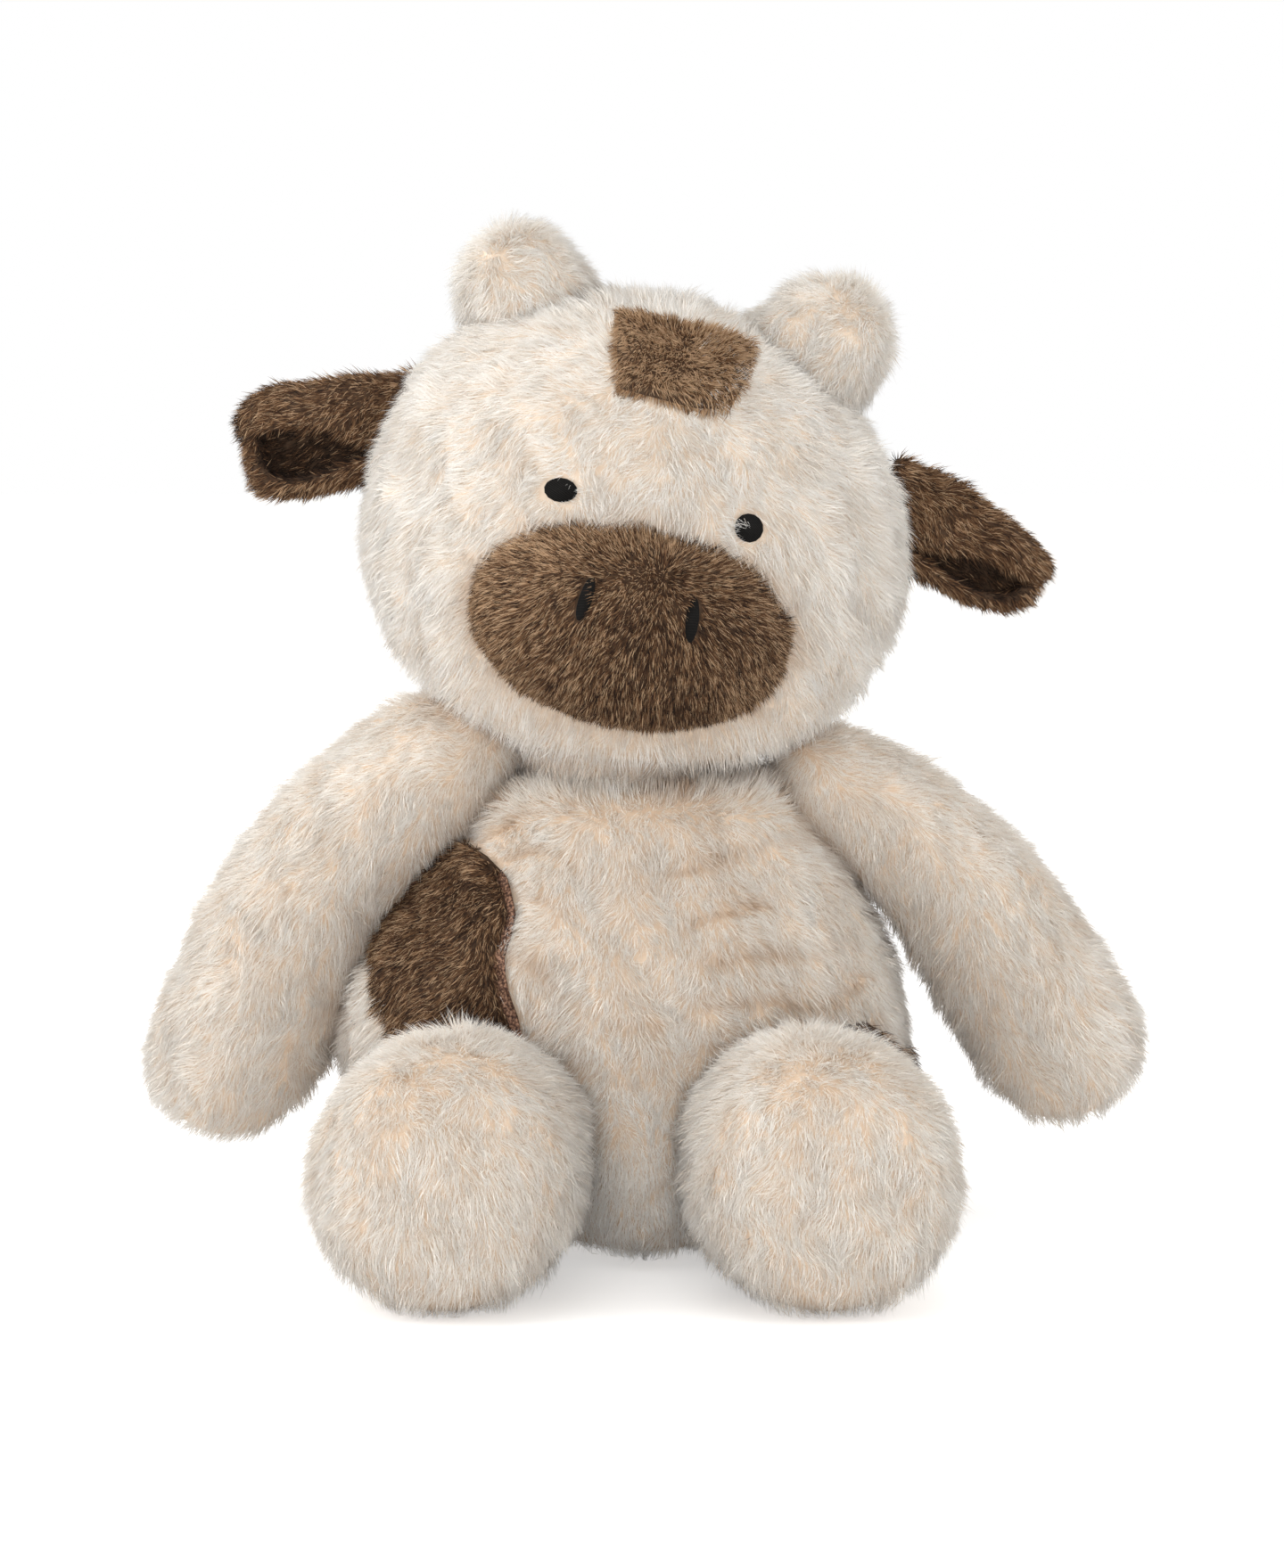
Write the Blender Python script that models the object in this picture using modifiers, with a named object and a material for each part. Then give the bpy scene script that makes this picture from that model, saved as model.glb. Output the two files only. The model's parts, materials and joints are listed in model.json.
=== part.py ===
"""A sitting plush cow, sewn from covers that are stuffed and joined at cloth seams.

Metres, +Z up. The cow faces -Y and its left side is at +X. The origin is on the floor,
under the seat. Covers are open shells, and their stuffing is a separate core inside.
"""

import math

import bmesh
import bpy
from mathutils import Vector

MM = 0.001

# Cloth and clearances
COVER = 2.6 * MM            # the pile fabric of a cover, with its backing
GAP = 0.35 * MM             # between pieces that touch
SEAT_GAP = 0.45 * MM        # round a ball end in its socket
CORE_SLACK = 0.9 * MM       # between a cover and its stuffing
FLOOR_SINK = 0.5 * MM       # how deep a soft form is cut flat where it stands
OVERRUN = 20 * MM           # how far a cutter runs past what it cuts
FLOOR_SIDE = 300 * MM       # side of the block that cuts the floor contacts flat
BALL_AROUND_COUNT = 20            # facets round a socket's cutter, and from pole to pole
BALL_RINGS = 12

# Body
BODY_AROUND_COUNT = 14
BODY_HEIGHT = 118 * MM
BODY_HALF_WIDTH = 67.5 * MM
BODY_HALF_DEPTH = 53 * MM
BODY_SET_BACK = 6 * MM
# height share, width share, depth share, share of the set-back
BODY_PROFILE_SHARES = (
    (0.000, 0.00, 0.00, 1.0),
    (0.000, 0.50, 0.52, 1.0),
    (0.022, 0.72, 0.73, 1.0),
    (0.100, 0.88, 0.89, 1.0),
    (0.240, 0.98, 1.00, 0.9),
    (0.400, 1.00, 1.01, 0.7),
    (0.560, 0.965, 0.95, 0.5),
    (0.720, 0.835, 0.83, 0.3),
    (0.870, 0.68, 0.70, 0.1),
    (0.975, 0.57, 0.62, 0.0),
    (0.992, 0.45, 0.47, 0.0),
    (1.000, 0.00, 0.00, 0.0),
)

# Pellet pouch, a flat bag of plastic pellets low in the seat
POUCH_HALF_WIDTH = 38 * MM
POUCH_HALF_DEPTH = 27 * MM
POUCH_HEIGHT = 24 * MM
POUCH_SET_BACK = 14 * MM
POUCH_FULLNESS = 2.4
POUCH_AROUND_COUNT = 12
POUCH_RINGS = 6

# Neck
NECK_SIDE_SET = -5 * MM
NECK_FORWARD = 2 * MM
NECK_RISE = 14 * MM         # its centre above the body's top
NECK_RADIUS = 28 * MM
NECK_AROUND_COUNT = 18
NECK_RINGS = 10

# Head, in its own tilted frame, from the neck's centre
HEAD_TILT = math.radians(11.5)
HEAD_TURN = math.radians(3)
HEAD_HALF_WIDTH = 69.5 * MM
HEAD_HALF_DEPTH = 56 * MM
HEAD_HALF_HEIGHT = 60 * MM
HEAD_SIDE_SET = -7.2 * MM
HEAD_FORWARD = 8 * MM
HEAD_RISE = 48.2 * MM
HEAD_FULLNESS = 2.25
HEAD_RINGS = 9
HEAD_AROUND_COUNT = 14

# Muzzle
MUZZLE_HALF_WIDTH = 40 * MM
MUZZLE_HALF_HEIGHT = 26 * MM
MUZZLE_HALF_DEPTH = 30 * MM
MUZZLE_FORWARD = 41 * MM
MUZZLE_DROP = 19.8 * MM
MUZZLE_FULLNESS = 2.15
MUZZLE_RINGS = 8
MUZZLE_AROUND_COUNT = 18

# Embroidered eyes and nostrils
EYE_HALF_WIDTH = 4.2 * MM
EYE_HALF_HEIGHT = 3.7 * MM
EYE_SPREAD = 23.5 * MM
EYE_RISE = 8.5 * MM
NOSTRIL_HALF_WIDTH = 1.6 * MM
NOSTRIL_HALF_HEIGHT = 5.6 * MM
NOSTRIL_SPREAD = 13.2 * MM
NOSTRIL_RISE = 4.5 * MM
NOSTRIL_LEAN = math.radians(8)
SATIN = 1.0 * MM            # thickness of raised satin stitches
EMBROIDERY_POINTS = 14

# Forehead patch, an outline round its centre
PATCH_PILE = 1.6 * MM       # thickness of a sewn-on pile patch
FOREHEAD_RISE = 45.5 * MM
FOREHEAD_HALF_WIDTH = 17 * MM
FOREHEAD_HALF_HEIGHT = 10.5 * MM
# across share, up share, from the upper right corner round
FOREHEAD_OUTLINE_SHARES = (
    (-1.00, 1.00), (-0.35, 1.05), (0.40, 0.95), (0.98, 0.72), (1.02, 0.10), (0.80, -0.92),
    (0.30, -1.05), (-0.30, -1.00), (-0.82, -0.95), (-0.95, -0.10),
)

# Horns
HORN_RADIUS = 16.6 * MM
HORN_SPREAD = 39 * MM
HORN_SIDE_SET = -2.5 * MM
HORN_RISE = 56.5 * MM
HORN_ROOT = 24 * MM         # how far the knob runs down towards the head's middle
HORN_AROUND_COUNT = 12
# share of the root below the knob's centre, share of the radius
HORN_ROOT_SHARES = ((1.00, 0.0), (1.00, 0.55), (0.86, 0.94), (0.40, 0.94))
# share of the radius above the knob's centre, share of the radius
HORN_KNOB_SHARES = ((0.0, 1.00), (0.60, 0.80), (0.92, 0.42), (1.00, 0.0))

# Ears, folded leaves
EAR_SPREAD = 64.7 * MM
EAR_RISE_LEFT = 16.5 * MM
EAR_RISE_RIGHT = 11.5 * MM
EAR_BACK = 2 * MM
EAR_SEAM_LEAN = math.radians(-12)   # the seam follows the head's side
EAR_DROOP_LEFT = math.radians(15)
EAR_DROOP_RIGHT = math.radians(20)
EAR_LENGTH = 43 * MM
EAR_HALF_HEIGHT = 16.5 * MM
EAR_HALF_DEPTH = 7.5 * MM
EAR_CLOTH = 3.0 * MM        # the two fabrics of an ear, sewn back to back
EAR_GROOVE_RADIUS = 7.2 * MM
EAR_GROOVE_HEIGHT = 34 * MM
EAR_GROOVE_AROUND_COUNT = 18
EAR_FRONT_EDGE = math.radians(-98)
EAR_BACK_EDGE = math.radians(196)
EAR_STEPS_LONG = 10
EAR_STEPS_ROUND = 11
# share of the length, share of the half height there, share of the half depth there
EAR_LEAF_SHARES = (
    (0.00, 0.74, 0.90), (0.10, 0.78, 0.44), (0.30, 0.94, 0.80), (0.50, 1.00, 1.00),
    (0.68, 0.98, 1.00), (0.84, 0.84, 0.86), (0.94, 0.60, 0.60), (1.00, 0.36, 0.34),
)

LIMB_AROUND_COUNT = 10
# share of a ball end's radius below its centre, share of the radius
BALL_END_SHARES = ((1.00, 0.0), (0.80, 0.58), (0.25, 0.96))

# Arms, from the shoulder's centre
SHOULDER_SPREAD = 49.1 * MM
SHOULDER_SIDE_SET = -0.6 * MM
SHOULDER_DROP_LEFT = 4.8 * MM       # below the body's top
SHOULDER_DROP_RIGHT = 4 * MM
SHOULDER_RADIUS = 17.3 * MM
ARM_REACH = 91 * MM         # shoulder centre to hand centre
ARM_HALF_WIDTH_LEFT = 21.5 * MM
ARM_HALF_WIDTH_RIGHT = 23 * MM
HAND_RADIUS = 21.5 * MM
ARM_BOW_LEFT = 10 * MM       # how far its middle bows outwards
ARM_BOW_RIGHT = 11.3 * MM
ARM_SPREAD_LEFT = math.radians(41.8)
ARM_SPREAD_RIGHT = math.radians(39.3)
ARM_FORWARD = math.radians(8)
# share of the reach, share of the half width, share of the bow
ARM_PROFILE_SHARES = ((0.14, 0.76, 0.62), (0.36, 0.84, 1.0), (0.64, 0.97, 0.70), (0.88, 1.00, 0.2))
# share of the hand's radius past its centre, share of its radius
HAND_PROFILE_SHARES = ((0.28, 0.97), (0.70, 0.74), (0.94, 0.40), (1.00, 0.0))

# Legs, from the hip's centre
HIP_SPREAD = 36.5 * MM
HIP_SIDE_SET = -2.5 * MM
HIP_FORWARD = 39 * MM
HIP_RADIUS = 23 * MM
LEG_REACH = 68 * MM         # hip centre to foot centre
FOOT_HALF_WIDTH = 32 * MM
FOOT_HALF_HEIGHT = 33 * MM
FOOT_DEPTH = 26 * MM        # foot centre to the front of the foot
FOOT_SINK = 1 * MM          # how far the foot's cage goes below the floor
LEG_SPLAY = math.radians(8)
# share of the reach, share of the way from hip size to foot size
LEG_PROFILE_SHARES = ((0.13, -0.08), (0.36, 0.50), (0.62, 0.88), (0.90, 1.00))
# share of the foot's depth past its centre, share of the foot's size
FOOT_PROFILE_SHARES = ((0.34, 0.97), (0.76, 0.77), (0.97, 0.42), (1.00, 0.0))

# Patches on the body: shares of its height, and sideways places on its front
SIDE_PATCH_TOP_SHARE = 0.856
SIDE_PATCH_BOTTOM_SHARE = 0.407
SIDE_PATCH_INNER = 29 * MM
SIDE_PATCH_DEPTH = 16 * MM  # how far behind the body's middle it wraps
# share of the inner edge's place, share of the height, from the top outside corner round
SIDE_PATCH_OUTLINE_SHARES = (
    (2.9, 0.98), (1.90, 0.99), (1.50, 1.00), (1.20, 0.90), (1.07, 0.72), (1.15, 0.52),
    (1.10, 0.34), (0.98, 0.14), (0.97, -0.05), (1.12, -0.16), (1.80, -0.20), (2.9, -0.16),
)
SIDE_PATCH_STEPS = 2
EDGING_WIDTH = 2.8 * MM
EDGING_RISE = 0.5 * MM      # how far the satin stitches stand above the patch
EDGING_START_COUNT = 5      # the smoothed points of the outline before and up to the edging's end
EDGING_END_COUNT = 18
HIP_PATCH_TOP_SHARE = 0.525
HIP_PATCH_BOTTOM_SHARE = 0.203
HIP_PATCH_INNER = 46 * MM
HIP_PATCH_DEPTH = 26 * MM
HIP_PATCH_OUTLINE_SHARES = (
    (1.95, 0.40), (1.50, 0.54), (1.34, 0.72), (1.22, 0.87), (1.09, 0.86), (1.00, 0.64),
    (1.06, 0.30), (1.18, 0.04), (1.45, -0.06), (1.95, 0.00),
)

# Tail
TAIL_AROUND_COUNT = 8
TAIL_HEIGHT = 50 * MM
TAIL_RADIUS = 4.4 * MM
TAIL_LENGTH = 30 * MM
TAIL_ROOT_RADIUS = 6 * MM
TAIL_ROOT_SINK = 1.2 * MM   # how deep its root's centre lies in the back
TAIL_LEAN = math.radians(36)
# share of the root's radius past its centre, share of the root's radius
TAIL_ROOT_SHARES = ((-1.0, 0.0), (-0.70, 0.70), (0.0, 1.00), (0.80, 0.52))
# share of the length, share of the tail's radius
TAIL_SHARES = ((0.50, 1.00), (0.85, 1.00), (1.00, 0.70), (1.00, 0.0))
TUFT_LENGTH = 18 * MM
TUFT_RADIUS = 7.5 * MM
TUFT_OVERLAP = 4 * MM       # how far the tuft sits over the tail's end
# share of the tuft's length, share of its radius
TUFT_SHARES = ((0.0, 0.0), (0.0, 0.72), (0.45, 1.00), (0.85, 0.60), (1.00, 0.0))

# Colours
CREAM = (0.86, 0.77, 0.68)
CREAM_HEAD = (0.90, 0.84, 0.76)
BROWN = (0.17, 0.115, 0.08)
COPPER = (0.30, 0.14, 0.07)
BLACK = (0.012, 0.011, 0.012)
FILL_WHITE = (0.85, 0.85, 0.83)
POUCH_GREY = (0.45, 0.44, 0.42)


for old in list(bpy.data.objects):
    bpy.data.objects.remove(old, do_unlink=True)

cow = bpy.data.collections.new("plush_cow")
bpy.context.scene.collection.children.link(cow)
tools = bpy.data.collections.new("cutters")
bpy.context.scene.collection.children.link(tools)


def make_material(name, colour, roughness):
    """A cloth or thread material."""
    material = bpy.data.materials.new(name)
    material.use_nodes = True
    shader = material.node_tree.nodes["Principled BSDF"]
    shader.inputs["Base Color"].default_value = (*colour, 1)
    shader.inputs["Roughness"].default_value = roughness
    shader.inputs["Metallic"].default_value = 0
    return material


cream = make_material("cream_pile", CREAM, 0.95)
cream_head = make_material("cream_head_pile", CREAM_HEAD, 0.95)
brown = make_material("brown_pile", BROWN, 0.9)
copper = make_material("copper_thread", COPPER, 0.5)
black = make_material("black_thread", BLACK, 0.55)
fill = make_material("fibrefill", FILL_WHITE, 1.0)
pouch_cloth = make_material("pouch_cloth", POUCH_GREY, 0.9)


def add_object(name, mesh, material=None, cutter=False):
    """Link a mesh as a named part, or as a hidden cutter."""
    item = bpy.data.objects.new(name, mesh)
    (tools if cutter else cow).objects.link(item)
    if material:
        mesh.materials.append(material)
    if cutter:
        item.hide_render = True
        item.display_type = "WIRE"
    mesh.shade_smooth()
    return item


def place(item, parent, location=(0, 0, 0), rotation=(0, 0, 0)):
    """Parent an object and set its place under that parent."""
    item.parent = parent
    item.location = location
    item.rotation_euler = rotation
    return item


def add_axis(name, parent=None, location=(0, 0, 0), rotation=(0, 0, 0)):
    """An empty on a joint's axis."""
    axis = bpy.data.objects.new(name, None)
    cow.objects.link(axis)
    return place(axis, parent, location, rotation)


def soft_mesh(name, rings, around, opened=None):
    """A rounded cage through rings of (x, y, z, half width, half depth), for Subdivision.

    The first and last rings are poles. opened removes the faces round the "low" or the
    "high" pole, which leaves the cover's opening there.
    """
    steps = len(rings) - 1
    cage = bmesh.new()
    bmesh.ops.create_uvsphere(cage, u_segments=around, v_segments=steps, radius=1)
    swell = 3 / (2 + math.cos(2 * math.pi / around))
    for vert in cage.verts:
        level = round((1 - math.acos(max(-1, min(1, vert.co.z))) / math.pi) * steps)
        x, y, z, half_width, half_depth = rings[level]
        spoke = Vector((vert.co.x, vert.co.y))
        if spoke.length > 0:
            spoke.normalize()
        vert.co = (x + spoke.x * half_width * swell, y + spoke.y * half_depth * swell, z)
    if opened:
        cage.verts.ensure_lookup_table()
        pole = min(cage.verts, key=lambda v: v.co.z if opened == "low" else -v.co.z)
        bmesh.ops.delete(cage, geom=[pole], context="VERTS")
    mesh = bpy.data.meshes.new(name)
    cage.to_mesh(mesh)
    cage.free()
    return mesh


def soften(item, levels=1):
    """Round a cage off with Subdivision Surface."""
    rounding = item.modifiers.new("rounding", "SUBSURF")
    rounding.levels = levels
    rounding.render_levels = levels


def wall(item, thickness):
    """Give an open surface its cloth, inwards."""
    cloth = item.modifiers.new("cloth", "SOLIDIFY")
    cloth.thickness = thickness
    cloth.offset = -1
    cloth.use_even_offset = True


def boolean(item, cutter, operation="DIFFERENCE"):
    """Cut an object with another, or keep what they share."""
    cutting = item.modifiers.new(cutter.name, "BOOLEAN")
    cutting.object = cutter
    cutting.operation = operation
    cutting.solver = "EXACT"


def swollen(name, mesh, by, levels=1):
    """A cutter like a form, grown by a distance all over."""
    item = add_object(name, mesh, cutter=True)
    if levels:
        soften(item, levels)
    grow = item.modifiers.new("grow", "DISPLACE")
    grow.mid_level = 0
    grow.strength = by
    return item


def ball_mesh(name, radius, around, rings):
    """A ball's mesh."""
    ball = bmesh.new()
    bmesh.ops.create_uvsphere(ball, u_segments=around, v_segments=rings, radius=radius)
    mesh = bpy.data.meshes.new(name)
    ball.to_mesh(mesh)
    ball.free()
    return mesh


def straight_rings(shares, start, unit, radius):
    """Rings of a round form along +Z, from rows of a share of a unit and one of a radius."""
    return [(0, 0, start + along * unit, radius * size, radius * size) for along, size in shares]


def ball_cutter(name, radius, parent=None, location=(0, 0, 0)):
    """A ball-shaped cutter for a socket. Its flats lie at the radius, so a ball fits inside."""
    flats = math.cos(math.pi / BALL_AROUND_COUNT) * math.cos(math.pi / BALL_RINGS / 2)
    mesh = ball_mesh(name, radius / flats, BALL_AROUND_COUNT, BALL_RINGS)
    return place(add_object(name, mesh, cutter=True), parent, location)


def core_mesh(name, rings, around, by):
    """Stuffing: a cover's cage, settled where Subdivision leaves it and drawn in by a distance."""
    mesh = soft_mesh(name, rings, around)
    draft = bpy.data.objects.new(name, mesh)
    tools.objects.link(draft)
    soften(draft)
    rounded = draft.evaluated_get(bpy.context.evaluated_depsgraph_get()).to_mesh()
    settled = [point.co - point.normal * by for point in rounded.vertices[:len(mesh.vertices)]]
    for vert, point in zip(mesh.vertices, settled):
        vert.co = point
    bpy.data.objects.remove(draft)
    return mesh


def rounded_rings(half_width, half_depth, half_height, steps, fullness):
    """Rings of a ball that is a little fuller than an ellipsoid."""
    rings = []
    for step in range(steps + 1):
        angle = math.pi * step / steps
        rise = -math.cos(angle)
        share = math.sin(angle)
        reach = (abs(rise) ** fullness + share ** fullness) ** (-1 / fullness)
        rings.append((0, 0, rise * reach * half_height,
                      share * reach * half_width, share * reach * half_depth))
    return rings


def prism(name, outline, near, far):
    """A cutter that runs along Y between two places, with an outline seen from the front."""
    mesh = bpy.data.meshes.new(name)
    solid = bmesh.new()
    loop = [solid.verts.new((x, near, z)) for x, z in outline]
    face = solid.faces.new(loop)
    pushed = bmesh.ops.extrude_face_region(solid, geom=[face])
    moved = [part for part in pushed["geom"] if isinstance(part, bmesh.types.BMVert)]
    bmesh.ops.translate(solid, verts=moved, vec=(0, far - near, 0))
    bmesh.ops.recalc_face_normals(solid, faces=solid.faces)
    solid.to_mesh(mesh)
    solid.free()
    return add_object(name, mesh, cutter=True)


def surface_patch(name, mesh, outline, near, far, low, high, parent, material):
    """A piece of cloth or stitching on a form: a slice of its skin within an outline.

    The slice runs from low to high above the form.
    """
    patch = add_object(name, mesh.copy(), material)
    patch.data.materials.clear()
    patch.data.materials.append(material)
    place(patch, parent)
    soften(patch)
    grow = patch.modifiers.new("grow", "DISPLACE")
    grow.mid_level = 0
    grow.strength = high
    under = place(swollen(name + "_under", mesh.copy(), low), parent)
    shape = place(prism(name + "_outline", outline, near, far), parent)
    boolean(patch, shape, "INTERSECT")
    boolean(patch, under)
    return patch


def band(points, width):
    """The outline of a strip of a width along a line of points."""
    near, far = [], []
    for before, point, after in zip(points, points[1:], points[2:]):
        across = (after - before).normalized().orthogonal() * (width / 2)
        near.append(point + across)
        far.append(point - across)
    return near + far[::-1]


def smooth_outline(points, steps):
    """A closed curve through hand-set points, as more points (Catmull-Rom)."""
    count = len(points)
    smooth = []
    for index in range(count):
        a, b, c, d = (Vector(points[(index + k) % count]) for k in (-1, 0, 1, 2))
        for step in range(steps):
            t = step / steps
            smooth.append(0.5 * ((2 * b) + (c - a) * t + (2 * a - 5 * b + 4 * c - d) * t * t
                                 + (3 * b - 3 * c + d - a) * t ** 3))
    return smooth


# Body: cover, stuffing and pellet pouch
body_rings = []
for height_share, width_share, depth_share, back_share in BODY_PROFILE_SHARES:
    body_rings.append((0, BODY_SET_BACK * back_share,
                       height_share * (BODY_HEIGHT + FLOOR_SINK) - FLOOR_SINK,
                       BODY_HALF_WIDTH * width_share, BODY_HALF_DEPTH * depth_share))
body_form = soft_mesh("body_form", body_rings, BODY_AROUND_COUNT)
body_cover = add_object("body_cover", soft_mesh("body_cover", body_rings, BODY_AROUND_COUNT, "high"), cream)
soften(body_cover)
wall(body_cover, COVER)

floor_block = bmesh.new()
bmesh.ops.create_cube(floor_block, size=1)
bmesh.ops.scale(floor_block, verts=floor_block.verts, vec=(FLOOR_SIDE, FLOOR_SIDE, OVERRUN))
bmesh.ops.translate(floor_block, verts=floor_block.verts, vec=(0, 0, -OVERRUN / 2))
floor_mesh = bpy.data.meshes.new("floor_cutter")
floor_block.to_mesh(floor_mesh)
floor_block.free()
floor_cutter = add_object("floor_cutter", floor_mesh, cutter=True)
boolean(body_cover, floor_cutter)

body_core = core_mesh("body_stuffing", body_rings, BODY_AROUND_COUNT, COVER + CORE_SLACK)
body_stuffing = add_object("body_stuffing", body_core, fill)

pouch_rings = rounded_rings(POUCH_HALF_WIDTH, POUCH_HALF_DEPTH, POUCH_HEIGHT / 2, POUCH_RINGS,
                            POUCH_FULLNESS)
pouch_mesh = soft_mesh("pellet_pouch", pouch_rings, POUCH_AROUND_COUNT)
pouch_place = (0, POUCH_SET_BACK, POUCH_HEIGHT / 2)
pellet_pouch = place(add_object("pellet_pouch", pouch_mesh, pouch_cloth), None, pouch_place)
seat_inside = add_object("seat_inside", body_core.copy(), cutter=True)
boolean(pellet_pouch, seat_inside, "INTERSECT")
# The stuffing lies over and round the pouch, and is open below it
pouch_room = place(swollen("pouch_room", pouch_mesh.copy(), GAP, 0), None, pouch_place)
for corner in pouch_room.data.vertices:
    if corner.co.z < -GAP:
        corner.co.z -= OVERRUN
boolean(body_stuffing, pouch_room)


def socket(ball, *items):
    """Cut a socket for a ball end in each cover and core that it reaches."""
    for item in items:
        boolean(item, ball)


# Neck: a wad of stuffing that turns on the body, and carries the head
neck_axis = add_axis("neck_axis", None, (NECK_SIDE_SET, -NECK_FORWARD, BODY_HEIGHT + NECK_RISE))
head_axis = add_axis("head_axis", neck_axis, (0, 0, 0), (0, HEAD_TILT, HEAD_TURN))
neck_mesh = ball_mesh("neck_stuffing", NECK_RADIUS, NECK_AROUND_COUNT, NECK_RINGS)
neck_stuffing = place(add_object("neck_stuffing", neck_mesh, fill), neck_axis)
neck_room = ball_cutter("neck_room", NECK_RADIUS + SEAT_GAP, neck_axis)
socket(neck_room, body_cover, body_stuffing)

# Head: cover and stuffing
head_place = (HEAD_SIDE_SET, -HEAD_FORWARD, HEAD_RISE)
head_middle = add_axis("head_middle", head_axis, head_place)
head_rings = rounded_rings(HEAD_HALF_WIDTH, HEAD_HALF_DEPTH, HEAD_HALF_HEIGHT, HEAD_RINGS,
                           HEAD_FULLNESS)
head_form = soft_mesh("head_form", head_rings, HEAD_AROUND_COUNT)
head_cover_mesh = soft_mesh("head_cover", head_rings, HEAD_AROUND_COUNT, "low")
head_cover = place(add_object("head_cover", head_cover_mesh, cream_head), head_middle)
soften(head_cover)
wall(head_cover, COVER)
head_core = core_mesh("head_stuffing", head_rings, HEAD_AROUND_COUNT, COVER + CORE_SLACK)
head_stuffing = place(add_object("head_stuffing", head_core, fill), head_middle)
socket(neck_room, head_cover, head_stuffing)

# Muzzle: a stuffed pad on the face
muzzle_rings = rounded_rings(MUZZLE_HALF_WIDTH, MUZZLE_HALF_DEPTH, MUZZLE_HALF_HEIGHT, MUZZLE_RINGS,
                             MUZZLE_FULLNESS)
muzzle_form = soft_mesh("muzzle_form", muzzle_rings, MUZZLE_AROUND_COUNT)
muzzle_axis = add_axis("muzzle_middle", head_middle, (0, -MUZZLE_FORWARD, -MUZZLE_DROP))
muzzle = place(add_object("muzzle", muzzle_form.copy(), brown), muzzle_axis)
soften(muzzle)
head_seat = place(swollen("head_seat", head_form.copy(), GAP), head_middle)
boolean(muzzle, head_seat)


def oval(half_width, half_height, lean=0):
    """An oval outline, leaning by an angle."""
    points = []
    for index in range(EMBROIDERY_POINTS):
        angle = 2 * math.pi * index / EMBROIDERY_POINTS
        x = half_width * math.cos(angle)
        z = half_height * math.sin(angle)
        points.append((x * math.cos(lean) - z * math.sin(lean), x * math.sin(lean) + z * math.cos(lean)))
    return points


def moved(outline, across, up):
    """An outline moved to its place."""
    return [(x + across, z + up) for x, z in outline]


# Eyes and nostrils: raised satin embroidery
for side, sign in (("left", 1), ("right", -1)):
    eye = moved(oval(EYE_HALF_WIDTH, EYE_HALF_HEIGHT), sign * EYE_SPREAD, EYE_RISE)
    surface_patch("eye_" + side, head_form, eye, -HEAD_HALF_DEPTH - OVERRUN, 0, GAP, GAP + SATIN,
                  head_middle, black)
    slit = moved(oval(NOSTRIL_HALF_WIDTH, NOSTRIL_HALF_HEIGHT, -NOSTRIL_LEAN),
                 sign * NOSTRIL_SPREAD, NOSTRIL_RISE)
    surface_patch("nostril_" + side, muzzle_form, slit, -MUZZLE_HALF_DEPTH - OVERRUN, 0, GAP,
                  GAP + SATIN, muzzle_axis, black)

# Forehead patch
forehead = [(x * FOREHEAD_HALF_WIDTH, z * FOREHEAD_HALF_HEIGHT + FOREHEAD_RISE)
            for x, z in FOREHEAD_OUTLINE_SHARES]
surface_patch("forehead_patch", head_form, forehead, -HEAD_HALF_DEPTH - OVERRUN, 0, GAP,
              GAP + PATCH_PILE, head_middle, brown)

# Horns: stuffed knobs, sewn on round their base
horn_rings = straight_rings(HORN_ROOT_SHARES, 0, -HORN_ROOT, HORN_RADIUS)
horn_rings += straight_rings(HORN_KNOB_SHARES, 0, HORN_RADIUS, HORN_RADIUS)
for side, sign in (("left", 1), ("right", -1)):
    lean = math.atan2(HORN_SPREAD, HORN_RISE)
    horn = add_object("horn_" + side, soft_mesh("horn_" + side, horn_rings, HORN_AROUND_COUNT), cream_head)
    place(horn, head_middle, (HORN_SIDE_SET + sign * HORN_SPREAD, 0, HORN_RISE), (0, sign * lean, 0))
    soften(horn)
    boolean(horn, head_seat)


def shares_along(table, along):
    """The values read at a place between hand-set rows of shares."""
    for (start, *low), (end, *high) in zip(table, table[1:]):
        if along <= end:
            way = (along - start) / (end - start)
            return [a + (b - a) * way for a, b in zip(low, high)]
    return table[-1][1:]


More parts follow.
